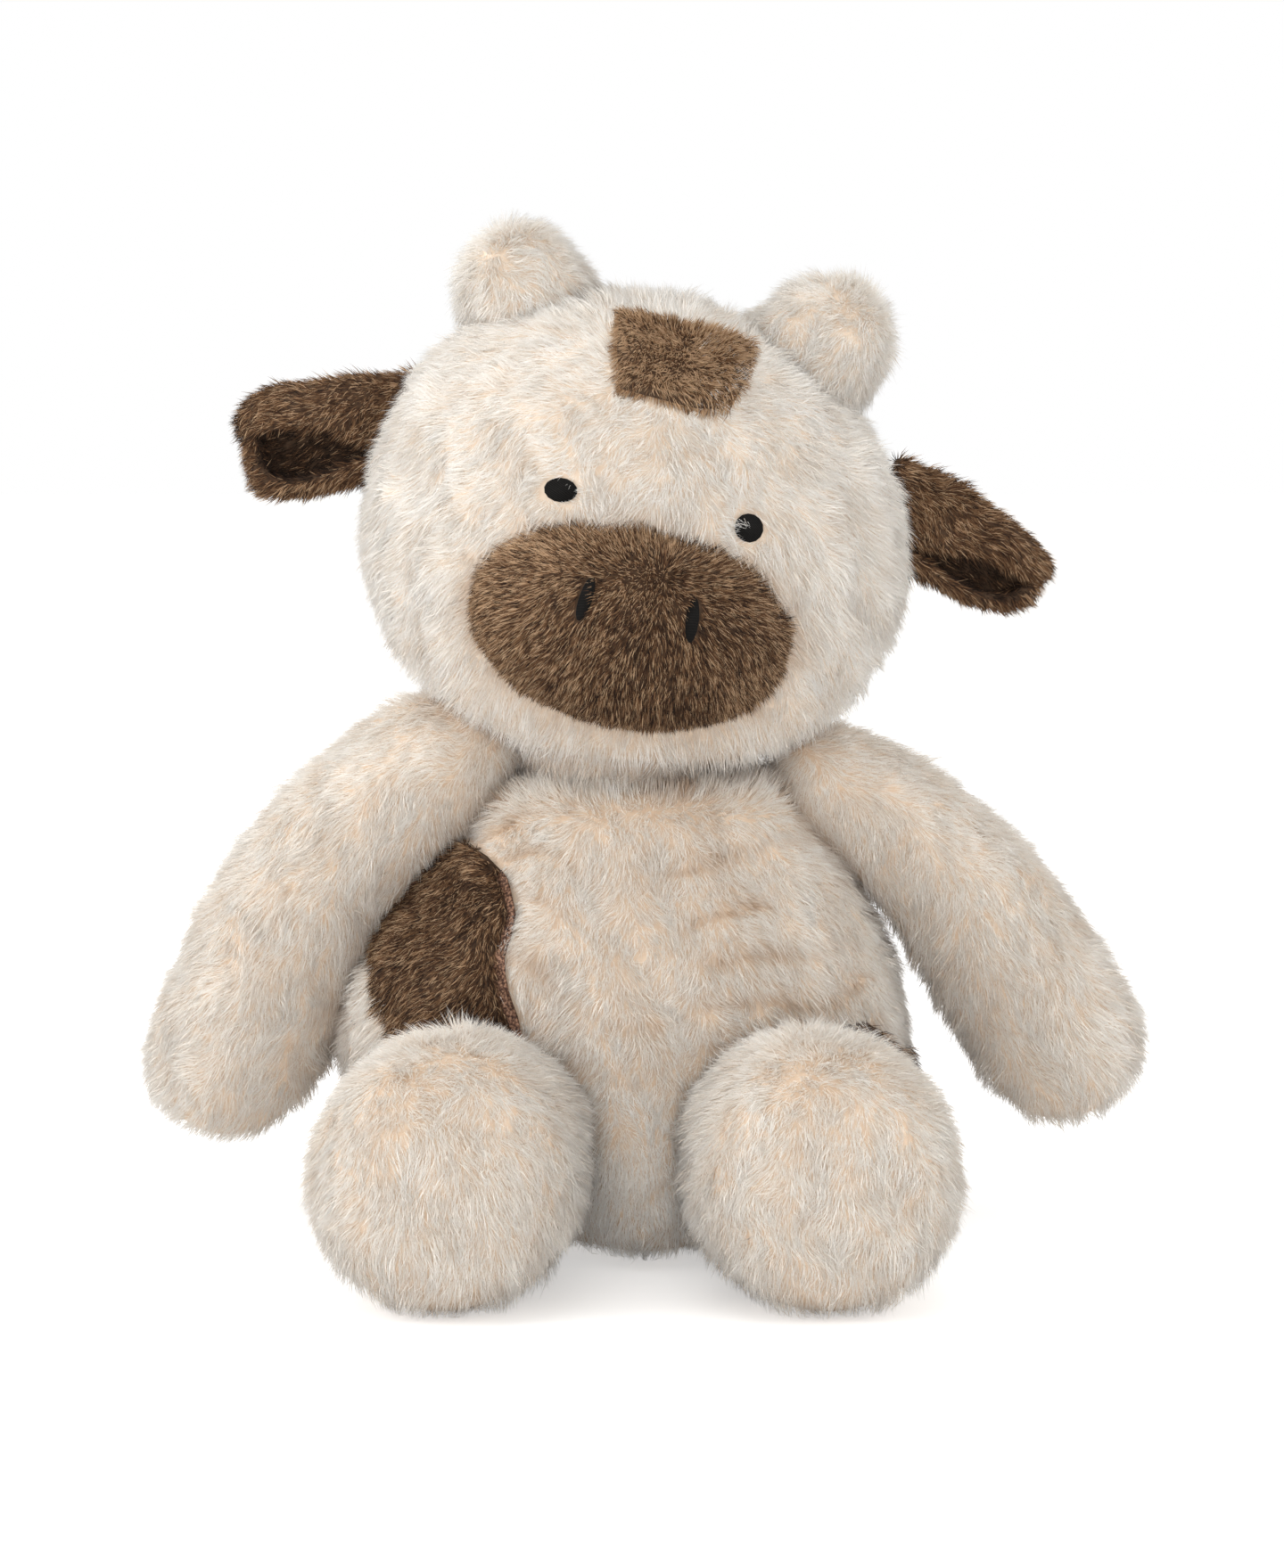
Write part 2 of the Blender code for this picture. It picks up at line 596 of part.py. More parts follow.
# Ears: a leaf folded over its top edge, so that a pocket opens to the front and below
for side, sign, rise, droop in (("left", 1, EAR_RISE_LEFT, EAR_DROOP_LEFT),
                                ("right", -1, EAR_RISE_RIGHT, EAR_DROOP_RIGHT)):
    sheet = bmesh.new()
    bmesh.ops.create_grid(sheet, x_segments=EAR_STEPS_LONG, y_segments=EAR_STEPS_ROUND, size=1)
    for vert in sheet.verts:
        along = (vert.co.x + 1) / 2
        turn = EAR_FRONT_EDGE + (EAR_BACK_EDGE - EAR_FRONT_EDGE) * (vert.co.y + 1) / 2
        tall, deep = shares_along(EAR_LEAF_SHARES, along)
        reach = along * EAR_LENGTH
        vert.co = (sign * reach * math.cos(droop), math.sin(turn) * EAR_HALF_DEPTH * deep,
                   math.cos(turn) * EAR_HALF_HEIGHT * tall - reach * math.sin(droop))
    mesh = bpy.data.meshes.new("ear_" + side)
    sheet.to_mesh(mesh)
    sheet.free()
    ear_axis = add_axis("ear_axis_" + side, head_middle, (sign * EAR_SPREAD, EAR_BACK, rise),
                        (0, sign * EAR_SEAM_LEAN, 0))
    ear = place(add_object("ear_" + side, mesh, brown), ear_axis)
    cloth = ear.modifiers.new("cloth", "SOLIDIFY")
    cloth.thickness = EAR_CLOTH
    cloth.offset = -sign
    cloth.use_even_offset = False
    groove = bmesh.new()
    bmesh.ops.create_cone(groove, cap_ends=True, segments=EAR_GROOVE_AROUND_COUNT,
                          radius1=EAR_GROOVE_RADIUS, radius2=EAR_GROOVE_RADIUS,
                          depth=EAR_GROOVE_HEIGHT)
    groove_mesh = bpy.data.meshes.new("ear_groove_" + side)
    groove.to_mesh(groove_mesh)
    groove.free()
    ear_groove = place(add_object("ear_groove_" + side, groove_mesh, cutter=True), ear_axis)
    socket(ear_groove, head_cover, head_stuffing)


def limb(name, rings, around, parent):
    """A limb's cover, open at its root, with the stuffing inside it."""
    cover = place(add_object(name, soft_mesh(name, rings, around, "low"), cream), parent)
    soften(cover)
    wall(cover, COVER)
    filling = core_mesh(name + "_stuffing", rings, around, COVER + CORE_SLACK)
    place(add_object(name + "_stuffing", filling, fill), parent)
    return cover


# Arms: from the shoulder's ball end to the hand, built along +Z and turned to hang
for side, sign, spread, drop, half_width, bow in (
        ("left", 1, ARM_SPREAD_LEFT, SHOULDER_DROP_LEFT, ARM_HALF_WIDTH_LEFT, ARM_BOW_LEFT),
        ("right", -1, ARM_SPREAD_RIGHT, SHOULDER_DROP_RIGHT, ARM_HALF_WIDTH_RIGHT, ARM_BOW_RIGHT)):
    arm_rings = straight_rings(BALL_END_SHARES, 0, -SHOULDER_RADIUS, SHOULDER_RADIUS)
    for along, size, bow_share in ARM_PROFILE_SHARES:
        arm_rings.append((sign * bow * bow_share, 0, ARM_REACH * along,
                          half_width * size, half_width * size))
    arm_rings += straight_rings(HAND_PROFILE_SHARES, ARM_REACH, HAND_RADIUS, HAND_RADIUS)
    shoulder = add_axis("shoulder_axis_" + side, None,
                        (SHOULDER_SIDE_SET + sign * SHOULDER_SPREAD, 0, BODY_HEIGHT - drop),
                        (math.pi + ARM_FORWARD, -sign * spread, 0))
    limb("arm_" + side, arm_rings, LIMB_AROUND_COUNT, shoulder)
    if side == "right":
        arm_room_mesh = soft_mesh("arm_room", arm_rings, LIMB_AROUND_COUNT)
        arm_room = place(swollen("arm_room", arm_room_mesh, GAP), shoulder)
    shoulder_room = ball_cutter("shoulder_room_" + side, SHOULDER_RADIUS + SEAT_GAP, shoulder)
    socket(shoulder_room, body_cover, body_stuffing)

# Legs: from the hip's ball end to the foot, built along +Z and turned to point forward
for side, sign in (("left", 1), ("right", -1)):
    hip_height = FOOT_HALF_HEIGHT - FOOT_SINK
    leg_rings = straight_rings(BALL_END_SHARES, 0, -HIP_RADIUS, HIP_RADIUS)
    for along, way in LEG_PROFILE_SHARES:
        leg_rings.append((0, 0, LEG_REACH * along,
                          HIP_RADIUS + (FOOT_HALF_WIDTH - HIP_RADIUS) * way,
                          HIP_RADIUS + (FOOT_HALF_HEIGHT - HIP_RADIUS) * way))
    for past, size in FOOT_PROFILE_SHARES:
        leg_rings.append((0, 0, LEG_REACH + FOOT_DEPTH * past, FOOT_HALF_WIDTH * size,
                          FOOT_HALF_HEIGHT * size))
    hip = add_axis("hip_axis_" + side, None,
                   (HIP_SIDE_SET + sign * HIP_SPREAD, -HIP_FORWARD, hip_height),
                   (math.pi / 2, 0, sign * LEG_SPLAY))
    leg_cover = limb("leg_" + side, leg_rings, LIMB_AROUND_COUNT, hip)
    boolean(leg_cover, floor_cutter)
    hip_room = ball_cutter("hip_room_" + side, HIP_RADIUS + SEAT_GAP, hip)
    socket(hip_room, body_cover, body_stuffing)

# Side patch, with its satin-stitch edging, and hip patch
side_patch_height = SIDE_PATCH_TOP_SHARE - SIDE_PATCH_BOTTOM_SHARE
side_outline = smooth_outline(
    [(-x * SIDE_PATCH_INNER, BODY_HEIGHT * (SIDE_PATCH_BOTTOM_SHARE + z * side_patch_height))
     for x, z in SIDE_PATCH_OUTLINE_SHARES], SIDE_PATCH_STEPS)
side_patch = surface_patch("side_patch", body_form, side_outline, -BODY_HALF_DEPTH - OVERRUN,
                           SIDE_PATCH_DEPTH, GAP, GAP + PATCH_PILE, None, brown)
edge_line = side_outline[EDGING_START_COUNT:EDGING_END_COUNT]
side_edging = surface_patch("side_patch_edging", body_form, band(edge_line, EDGING_WIDTH),
                            -BODY_HALF_DEPTH - OVERRUN, SIDE_PATCH_DEPTH, GAP,
                            GAP + PATCH_PILE + EDGING_RISE, None, copper)
boolean(side_patch, prism("edging_room", band(edge_line, EDGING_WIDTH + 2 * GAP),
                          -BODY_HALF_DEPTH - OVERRUN, SIDE_PATCH_DEPTH + OVERRUN))
hip_patch_height = HIP_PATCH_TOP_SHARE - HIP_PATCH_BOTTOM_SHARE
hip_outline = [(x * HIP_PATCH_INNER, BODY_HEIGHT * (HIP_PATCH_BOTTOM_SHARE + z * hip_patch_height))
               for x, z in HIP_PATCH_OUTLINE_SHARES]
hip_patch = surface_patch("hip_patch", body_form, hip_outline, -BODY_HALF_DEPTH - OVERRUN,
                          HIP_PATCH_DEPTH, GAP, GAP + PATCH_PILE, None, brown)


# Tail, with a tuft over its end, hanging from the back
tail_rings = straight_rings(TAIL_ROOT_SHARES, 0, TAIL_ROOT_RADIUS, TAIL_ROOT_RADIUS)
tail_rings += straight_rings(TAIL_SHARES, 0, TAIL_LENGTH, TAIL_RADIUS)
tail_axis = add_axis("tail_axis", None,
                     (0, BODY_SET_BACK + BODY_HALF_DEPTH - TAIL_ROOT_SINK, TAIL_HEIGHT),
                     (math.pi + TAIL_LEAN, 0, 0))
tail_mesh = soft_mesh("tail", tail_rings, TAIL_AROUND_COUNT)
tail = place(add_object("tail", tail_mesh, cream), tail_axis)
soften(tail)
tuft_rings = straight_rings(TUFT_SHARES, TAIL_LENGTH - TUFT_OVERLAP, TUFT_LENGTH, TUFT_RADIUS)
tuft = place(add_object("tail_tuft", soft_mesh("tail_tuft", tuft_rings, TAIL_AROUND_COUNT), brown), tail_axis)
soften(tuft)
boolean(tuft, place(swollen("tail_room", tail_mesh.copy(), GAP), tail_axis))
tail_root_room = ball_cutter("tail_root_room", TAIL_ROOT_RADIUS + SEAT_GAP, tail_axis)
socket(tail_root_room, body_cover, body_stuffing)
for cutter in (bpy.data.objects["shoulder_room_right"], arm_room, bpy.data.objects["hip_room_right"]):
    boolean(side_patch, cutter)
    boolean(side_edging, cutter)
boolean(hip_patch, bpy.data.objects["hip_room_left"])
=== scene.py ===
"""A sitting plush cow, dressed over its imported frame: covers, pile, patches and embroidery.

Lengths are written in millimetres and turned to metres with MM. The cow faces -Y and its
left side is at +X.
"""

import json
import math

import bpy
import numpy as np
from mathutils import Euler, Matrix, Vector, kdtree
from mathutils.bvhtree import BVHTree

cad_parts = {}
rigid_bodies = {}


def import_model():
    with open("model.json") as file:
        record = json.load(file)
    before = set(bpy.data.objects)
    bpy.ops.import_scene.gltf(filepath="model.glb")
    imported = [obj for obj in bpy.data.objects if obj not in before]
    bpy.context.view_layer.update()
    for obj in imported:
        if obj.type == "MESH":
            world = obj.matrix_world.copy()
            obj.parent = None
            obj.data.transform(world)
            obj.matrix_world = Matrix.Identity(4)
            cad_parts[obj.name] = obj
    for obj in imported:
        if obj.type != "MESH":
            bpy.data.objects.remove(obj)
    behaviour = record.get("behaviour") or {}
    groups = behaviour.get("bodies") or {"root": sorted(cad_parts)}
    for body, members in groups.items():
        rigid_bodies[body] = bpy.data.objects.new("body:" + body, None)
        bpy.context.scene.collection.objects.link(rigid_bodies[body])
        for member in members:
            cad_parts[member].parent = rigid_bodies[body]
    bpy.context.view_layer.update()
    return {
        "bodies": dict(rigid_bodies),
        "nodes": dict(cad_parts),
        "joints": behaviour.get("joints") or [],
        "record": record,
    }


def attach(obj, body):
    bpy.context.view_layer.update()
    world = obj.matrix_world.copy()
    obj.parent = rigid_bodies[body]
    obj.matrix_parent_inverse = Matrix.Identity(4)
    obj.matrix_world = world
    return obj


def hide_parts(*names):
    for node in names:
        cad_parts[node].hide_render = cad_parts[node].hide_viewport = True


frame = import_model()

MM = 0.001

# ---- Stuffing: loose white fibre inside every cover, and a bag of pellets in the seat
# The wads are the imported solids, made lumpy. They lie inside the covers, so nothing of
# them shows while the toy is whole.

FIBRE_LUMP = 9 * MM
FIBRE_RELIEF = 1.4 * MM


def deselect():
    """Nothing selected, so that an operator reaches only what it is given."""
    bpy.ops.object.select_all(action="DESELECT")


def activate(item):
    """One object selected and active."""
    deselect()
    item.select_set(True)
    bpy.context.view_layer.objects.active = item


def apply_modifiers(item):
    """Make a piece's modifiers part of its mesh."""
    activate(item)
    for modifier in list(item.modifiers):
        bpy.ops.object.modifier_apply(modifier=modifier.name)


def cloth_shader(name, roughness, sheen=0.0):
    """A matt material with its nodes, its shader and a place for more nodes."""
    material = bpy.data.materials.new(name)
    material.use_nodes = True
    nodes = material.node_tree.nodes
    shader = nodes["Principled BSDF"]
    shader.inputs["Roughness"].default_value = roughness
    shader.inputs["Specular IOR Level"].default_value = 0.25
    shader.inputs["Sheen Weight"].default_value = sheen
    shader.inputs["Sheen Roughness"].default_value = 0.5
    return material, nodes, material.node_tree.links, shader


def colour_steps(nodes, steps):
    """A colour ramp through (place, colour) steps."""
    ramp = nodes.new("ShaderNodeValToRGB")
    band = ramp.color_ramp
    while len(band.elements) < len(steps):
        band.elements.new(0.5)
    for element, (place, colour) in zip(band.elements, steps):
        element.position = place
        element.color = (*colour, 1)
    return ramp


def lumpy_cloth(name, steps, size, relief, roughness=0.95):
    """Cloth or fibre whose colour and relief change in patches of a size."""
    material, nodes, links, shader = cloth_shader(name, roughness)
    place = nodes.new("ShaderNodeTexCoord")
    patches = nodes.new("ShaderNodeTexNoise")
    patches.inputs["Scale"].default_value = 1 / size
    patches.inputs["Detail"].default_value = 6
    ramp = colour_steps(nodes, steps)
    bump = nodes.new("ShaderNodeBump")
    bump.inputs["Distance"].default_value = relief
    links.new(place.outputs["Object"], patches.inputs["Vector"])
    links.new(patches.outputs["Fac"], ramp.inputs["Fac"])
    links.new(ramp.outputs["Color"], shader.inputs["Base Color"])
    links.new(patches.outputs["Fac"], bump.inputs["Height"])
    links.new(bump.outputs["Normal"], shader.inputs["Normal"])
    return material


fibre = lumpy_cloth("fibre_filling", ((0.35, (0.66, 0.66, 0.64)), (0.6, (0.9, 0.9, 0.88))),
                    4 * MM, 0.8 * MM)
pellet_cloth = lumpy_cloth("pellet_bag_cloth", ((0.4, (0.36, 0.35, 0.33)), (0.6, (0.5, 0.49, 0.46))),
                           1.5 * MM, 0.4 * MM)


def stuffed_wad(node, material, body):
    """A wad of filling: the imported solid, lumpy."""
    wad = bpy.data.objects.new(node + "_wad", frame["nodes"][node].data.copy())
    bpy.context.scene.collection.objects.link(wad)
    wad.data.materials.clear()
    wad.data.materials.append(material)
    smooth = wad.modifiers.new("one_surface", "REMESH")
    smooth.mode = "VOXEL"
    smooth.voxel_size = 4 * MM
    apply_modifiers(wad)
    lumps = bpy.data.textures.new(node + "_lumps", "CLOUDS")
    lumps.noise_scale = FIBRE_LUMP
    relief = wad.modifiers.new("lumps", "DISPLACE")
    relief.texture = lumps
    relief.mid_level = 1
    relief.strength = FIBRE_RELIEF
    apply_modifiers(wad)
    bpy.ops.object.shade_smooth()
    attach(wad, body)
    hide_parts(node)
    return wad


for wad_node, wad_body in (("body_stuffing", "body"), ("head_stuffing", "head"),
                           ("arm_left_stuffing", "arm_left"), ("arm_right_stuffing", "arm_right"),
                           ("leg_left_stuffing", "leg_left"), ("leg_right_stuffing", "leg_right")):
    stuffed_wad(wad_node, fibre, wad_body)
stuffed_wad("pellet_pouch", pellet_cloth, "body")

# ---- Body cover: cream pile fabric, sewn into a pear and closed over the filling
# The knitted backing is the padded form; the pile stands on it in fine combed locks, as
# strands of their own, shorter and thinner where the cover is hidden.

CREAM_BACKING = ((0.3, (0.60, 0.45, 0.33)), (0.7, (0.70, 0.56, 0.43)))
# place across the fibre shades, from the tan of a parting and of the painted crease shade to the palest
# tips
CREAM_SHADES = ((0.0, (0.56, 0.41, 0.29)), (0.3, (0.75, 0.66, 0.57)), (0.6, (0.86, 0.82, 0.76)),
                (1.0, (0.96, 0.95, 0.92)))
SKIN_SHARE = 0.2            # how far a strand takes the light as the skin under it does
LOCK_TONE = 0.05            # how far one lock's shade differs from the next
LOCK_LEAN = 0.10            # and how far it turns to the light
LOCK_RISE = 0.35 * MM       # and how far its tips stand above or below the others
TUFT_SIZE = 7 * MM          # across the soft hills and dents of the pile
TUFT_LEAN = 0.22
ROOT_DEPTH = 0.4 * MM       # how deep a strand is set in the backing
SAG = 0.1                   # how far its own weight bends it
LEAST_LIFT = 0.17           # radians off the skin
FLOOR_CLEAR = 0.4 * MM
WAVE_HEIGHT = 12.5 * MM     # between the partings across a combed belly
CREASE_SHADE_REACH = 9 * MM       # how far from a neighbour the pile is painted darker, as shade where they meet
BODY_HEIGHT = 118
BODY_HALF_WIDTH = 67.5
BODY_HALF_DEPTH = 53
BODY_SET_BACK = 6
FLOOR_SINK = 0.5
# height share, width share, depth share, share of the set-back
BODY_PROFILE = (
    (0.000, 0.00, 0.00, 1.0), (0.000, 0.50, 0.52, 1.0), (0.022, 0.72, 0.73, 1.0),
    (0.100, 0.88, 0.89, 1.0), (0.240, 0.98, 1.00, 0.9), (0.400, 1.00, 1.01, 0.7),
    (0.560, 0.965, 0.95, 0.5), (0.720, 0.835, 0.83, 0.3), (0.870, 0.68, 0.70, 0.1),
    (0.975, 0.57, 0.62, 0.0), (0.992, 0.45, 0.47, 0.0), (1.000, 0.00, 0.00, 0.0),
)
BODY_AROUND = 14
# the belly pushed out between the thighs
BELLY_FORWARD = 27 * MM
BELLY_SPREAD = 15 * MM
BELLY_RISE = 42 * MM
# the flank that the toy leans on, settled outwards
FLANK_OUT = 13 * MM
FLANK_HEIGHT = 58 * MM
FLANK_REACH = 40 * MM
UP = np.array((0.0, 0.0, 1.0))


def stuffed_form(name, rings, around, place, levels=2):
    """A ball, swelled and tapered through rings of (x, y, z, half width, half depth)."""
    deselect()
    steps = len(rings) - 1
    bpy.ops.mesh.primitive_uv_sphere_add(segments=around, ring_count=steps, radius=1)
    form = bpy.context.object
    form.name = form.data.name = name
    swell = 3 / (2 + math.cos(2 * math.pi / around))
    for vert in form.data.vertices:
        ring = round((1 - math.acos(max(-1, min(1, vert.co.z))) / math.pi) * steps)
        x, y, z, half_width, half_depth = rings[ring]
        spoke = Vector((vert.co.x, vert.co.y))
        if spoke.length > 1e-4:
            spoke.normalize()
        vert.co = (x + spoke.x * half_width * swell, y + spoke.y * half_depth * swell, z)
    rounding = form.modifiers.new("rounding", "SUBSURF")
    rounding.levels = rounding.render_levels = levels
    apply_modifiers(form)
    form.data.transform(Matrix.Scale(MM, 4) @ place)
    for vert in form.data.vertices:
        vert.co.z = max(vert.co.z, 0)
    activate(form)
    bpy.ops.object.shade_smooth()
    return form


def settle(item):
    """Push a body piece out on the right flank, where the filling has settled."""
    for vert in item.data.vertices:
        side = min(1, max(0, -vert.co.x / (BODY_HALF_WIDTH * MM)))
        vert.co.x -= FLANK_OUT * side ** 2 * math.exp(-((vert.co.z - FLANK_HEIGHT) / FLANK_REACH) ** 2)


def dress(item, material, body, slot, *nodes, fill=None):
    """Give a piece its material, its body and the solids that it stands for."""
    item.data.materials.clear()
    item.data.materials.append(material)
    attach(item, body)
    if nodes:
        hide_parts(*nodes)


def ripple(points, size, seed):
    """Smooth uneven waves of about one size over points, from about -1 to 1."""
    chance = np.random.default_rng(seed)
    total = np.zeros(len(points))
    for _ in range(9):
        way = chance.normal(size=3)
        way *= 2 * math.pi / (size * chance.uniform(0.7, 1.5) * np.linalg.norm(way))
        total += np.sin(points @ way + chance.uniform(0, 2 * math.pi))
    return total / 3


def unit(vectors):
    """Vectors of length one."""
    return vectors / np.maximum(np.linalg.norm(vectors, axis=-1, keepdims=True), 1e-9)


def scatter(form, per_mm2, chance, weight=None):
    """Even random places on a form, with their normals."""
    mesh = form.data
    mesh.calc_loop_triangles()
    co = np.empty(len(mesh.vertices) * 3)
    mesh.vertices.foreach_get("co", co)
    co = co.reshape(-1, 3)
    turned = np.empty(len(mesh.vertices) * 3)
    mesh.vertices.foreach_get("normal", turned)
    turned = turned.reshape(-1, 3)
    tris = np.empty(len(mesh.loop_triangles) * 3, dtype=np.int32)
    mesh.loop_triangles.foreach_get("vertices", tris)
    tris = tris.reshape(-1, 3)
    a, b, c = (co[tris[:, k]] for k in range(3))
    area = np.linalg.norm(np.cross(b - a, c - a), axis=1) / 2
    if weight is not None:
        area = area * weight((a + b + c) / 3, unit(turned[tris].mean(1)))
    count = int(per_mm2 * area.sum() / MM ** 2)
    pick = chance.choice(len(tris), size=count, p=area / area.sum())
    u, v = chance.random((2, count, 1))
    over = u + v > 1
    u, v = np.where(over, 1 - u, u), np.where(over, 1 - v, v)
    points = a[pick] + (b[pick] - a[pick]) * u + (c[pick] - a[pick]) * v
    na, nb, nc = (turned[tris[pick, k]] for k in range(3))
    return points, unit(na + (nb - na) * u + (nc - na) * v)


def depth_from(points, form, reach):
    """How far points are from a form, below zero inside; far points get the reach."""
    co = np.array([v.co for v in form.data.vertices])
    near = np.all((points > co.min(0) - reach) & (points < co.max(0) + reach), axis=1)
    tree = BVHTree.FromPolygons([v.co for v in form.data.vertices],
                                [p.vertices for p in form.data.polygons])
    depth = np.full(len(points), reach)
    for index in np.nonzero(near)[0]:
        point = Vector(points[index])
        spot, normal, _, gap = tree.find_nearest(point)
        depth[index] = min(reach, -gap if (point - spot).dot(normal) < 0 else gap)
    return depth


def strands(name, roots, normals, ways, lengths, lifts, thickness, shades, clump, chance, segments=2):
    """A mesh of tapered strands, gathered in locks and bent along the skin."""
    count = len(roots)
    points = [roots - normals * ROOT_DEPTH]
    step = lengths[:, None] / segments
    for part in range(segments):
        bend = lifts + (0.26 - 0.5 * (part + 0.5) / segments if segments > 1 else 0)
        way = ways * np.cos(bend)[:, None] + normals * np.sin(bend)[:, None]
        way = unit(way - UP * SAG * (part + 1) / segments)
        points.append(points[-1] + way * step)
    leaders, pull = clump
    locks = max(1, count // leaders)
    tree = kdtree.KDTree(locks)
    lead = chance.choice(count, size=locks, replace=False)
    for place, guide in enumerate(lead):
        tree.insert(roots[guide], place)
    tree.balance()
    lock = np.array([tree.find(root)[1] for root in roots])
    lead = lead[lock]
    shades = shades + LOCK_TONE * chance.normal(size=locks)[lock]
    stand = LOCK_RISE * chance.normal(size=(locks, 1))[lock]
    leant = normals + LOCK_LEAN * chance.normal(size=(locks, 3))[lock]
    for axis in range(3):
        leant[:, axis] += TUFT_LEAN * ripple(roots, TUFT_SIZE, 300 + axis)
    leant = unit(leant)
    pull = pull * chance.uniform(0.4, 1.0, count)
    for part in range(1, segments + 1):
        share = (pull * (part / segments) ** 1.3)[:, None]
        points[part] = points[part] + normals * (stand * part / segments)
        points[part] = points[part] + (points[part][lead] - points[part]) * share
    for part in range(segments + 1):
        points[part][:, 2] = np.maximum(points[part][:, 2], FLOOR_CLEAR)
    rings = []
    for part in range(segments):
        way = unit(points[part + 1] - points[part])
        across = unit(np.cross(normals, way))
        rise = np.cross(way, across)
        radius = thickness / 2 * (1 - 0.35 * part / segments)
        for turn in (-90, 30, 150):
            angle = math.radians(turn)
            rings.append(points[part] + across * (radius * math.cos(angle))
                         + rise * (radius * math.sin(angle)))
    rings.append(points[-1])
    per = len(rings)
    verts = np.stack(rings, axis=1).reshape(-1, 3)
    corners, sizes, heights, offs = [], [], [], []
    for part in range(segments):
        low = part * 3
        for k in range(3):
            after = (k + 1) % 3
            if part < segments - 1:
                corners += [low + k, low + after, low + after + 3, low + k + 3]
                heights += [part, part, part + 1, part + 1]
                offs += [k, k + 1, k + 1, k]
                sizes.append(4)
            else:
                corners += [low + k, low + after, low + 3]
                heights += [part, part, part + 1]
                offs += [k, k + 1, k + 0.5]
                sizes.append(3)
    loops = (np.arange(count)[:, None] * per + np.array(corners)).ravel()
    starts = np.concatenate(([0], np.cumsum(sizes)[:-1]))
    starts = (np.arange(count)[:, None] * len(corners) + starts).ravel()
    mesh = bpy.data.meshes.new(name)
    mesh.vertices.add(len(verts))
    mesh.vertices.foreach_set("co", verts.ravel())
    mesh.loops.add(len(loops))
    mesh.loops.foreach_set("vertex_index", loops.astype(np.int32))
    mesh.polygons.add(len(starts))
    mesh.polygons.foreach_set("loop_start", starts.astype(np.int32))
    shade = np.clip(shades, 0.01, 0.96)
    u = shade[:, None] + np.array(offs) * 0.008
    v = np.broadcast_to(np.array(heights) / segments * 0.98 + 0.01, u.shape)
    layer = mesh.uv_layers.new(name="OFBake")
    layer.data.foreach_set("uv", np.stack((u, v), axis=-1).ravel())
    mesh.update(calc_edges=True)
    mesh.validate()
    mesh.shade_smooth()
    own = np.empty(len(verts) * 3)
    mesh.vertices.foreach_get("normal", own)
    soft = unit(own.reshape(-1, 3) * (1 - SKIN_SHARE) + np.repeat(leant, per, axis=0) * SKIN_SHARE)
    mesh.normals_split_custom_set_from_vertices(soft.tolist())
    item = bpy.data.objects.new(name, mesh)
    bpy.context.scene.collection.objects.link(item)
    return item


def pile_material(name, shades, root, roughness=0.8, sheen=0.25):
    """Fibre colour: its shade runs across the map, and darkens towards the root."""
    material, nodes, links, shader = cloth_shader(name, roughness, sheen)
    lay = nodes.new("ShaderNodeUVMap")
    lay.uv_map = "OFBake"
    split = nodes.new("ShaderNodeSeparateXYZ")
    ramp = colour_steps(nodes, shades)
    depth = nodes.new("ShaderNodeMapRange")
    depth.inputs["From Min"].default_value = 0
    depth.inputs["From Max"].default_value = 0.8
    mix = nodes.new("ShaderNodeMix")
    mix.data_type = "RGBA"
    mix.blend_type = "MULTIPLY"
    mix.inputs[7].default_value = (*root, 1)
    flip = nodes.new("ShaderNodeMath")
    flip.operation = "SUBTRACT"
    flip.inputs[0].default_value = 1
    links.new(lay.outputs["UV"], split.inputs["Vector"])
    links.new(split.outputs["X"], ramp.inputs["Fac"])
    links.new(split.outputs["Y"], depth.inputs["Value"])
    links.new(depth.outputs["Result"], flip.inputs[1])
    links.new(flip.outputs["Value"], mix.inputs[0])
    links.new(ramp.outputs["Color"], mix.inputs[6])
    links.new(mix.outputs[2], shader.inputs["Base Color"])
    return material


cream_backing = lumpy_cloth("cream_backing", CREAM_BACKING, 2.5 * MM, 0.6 * MM)
cream_pile = pile_material("cream_pile_fibres", CREAM_SHADES, (0.91, 0.84, 0.77))
MOST_TRIANGLES = 190000     # in one mesh of strands


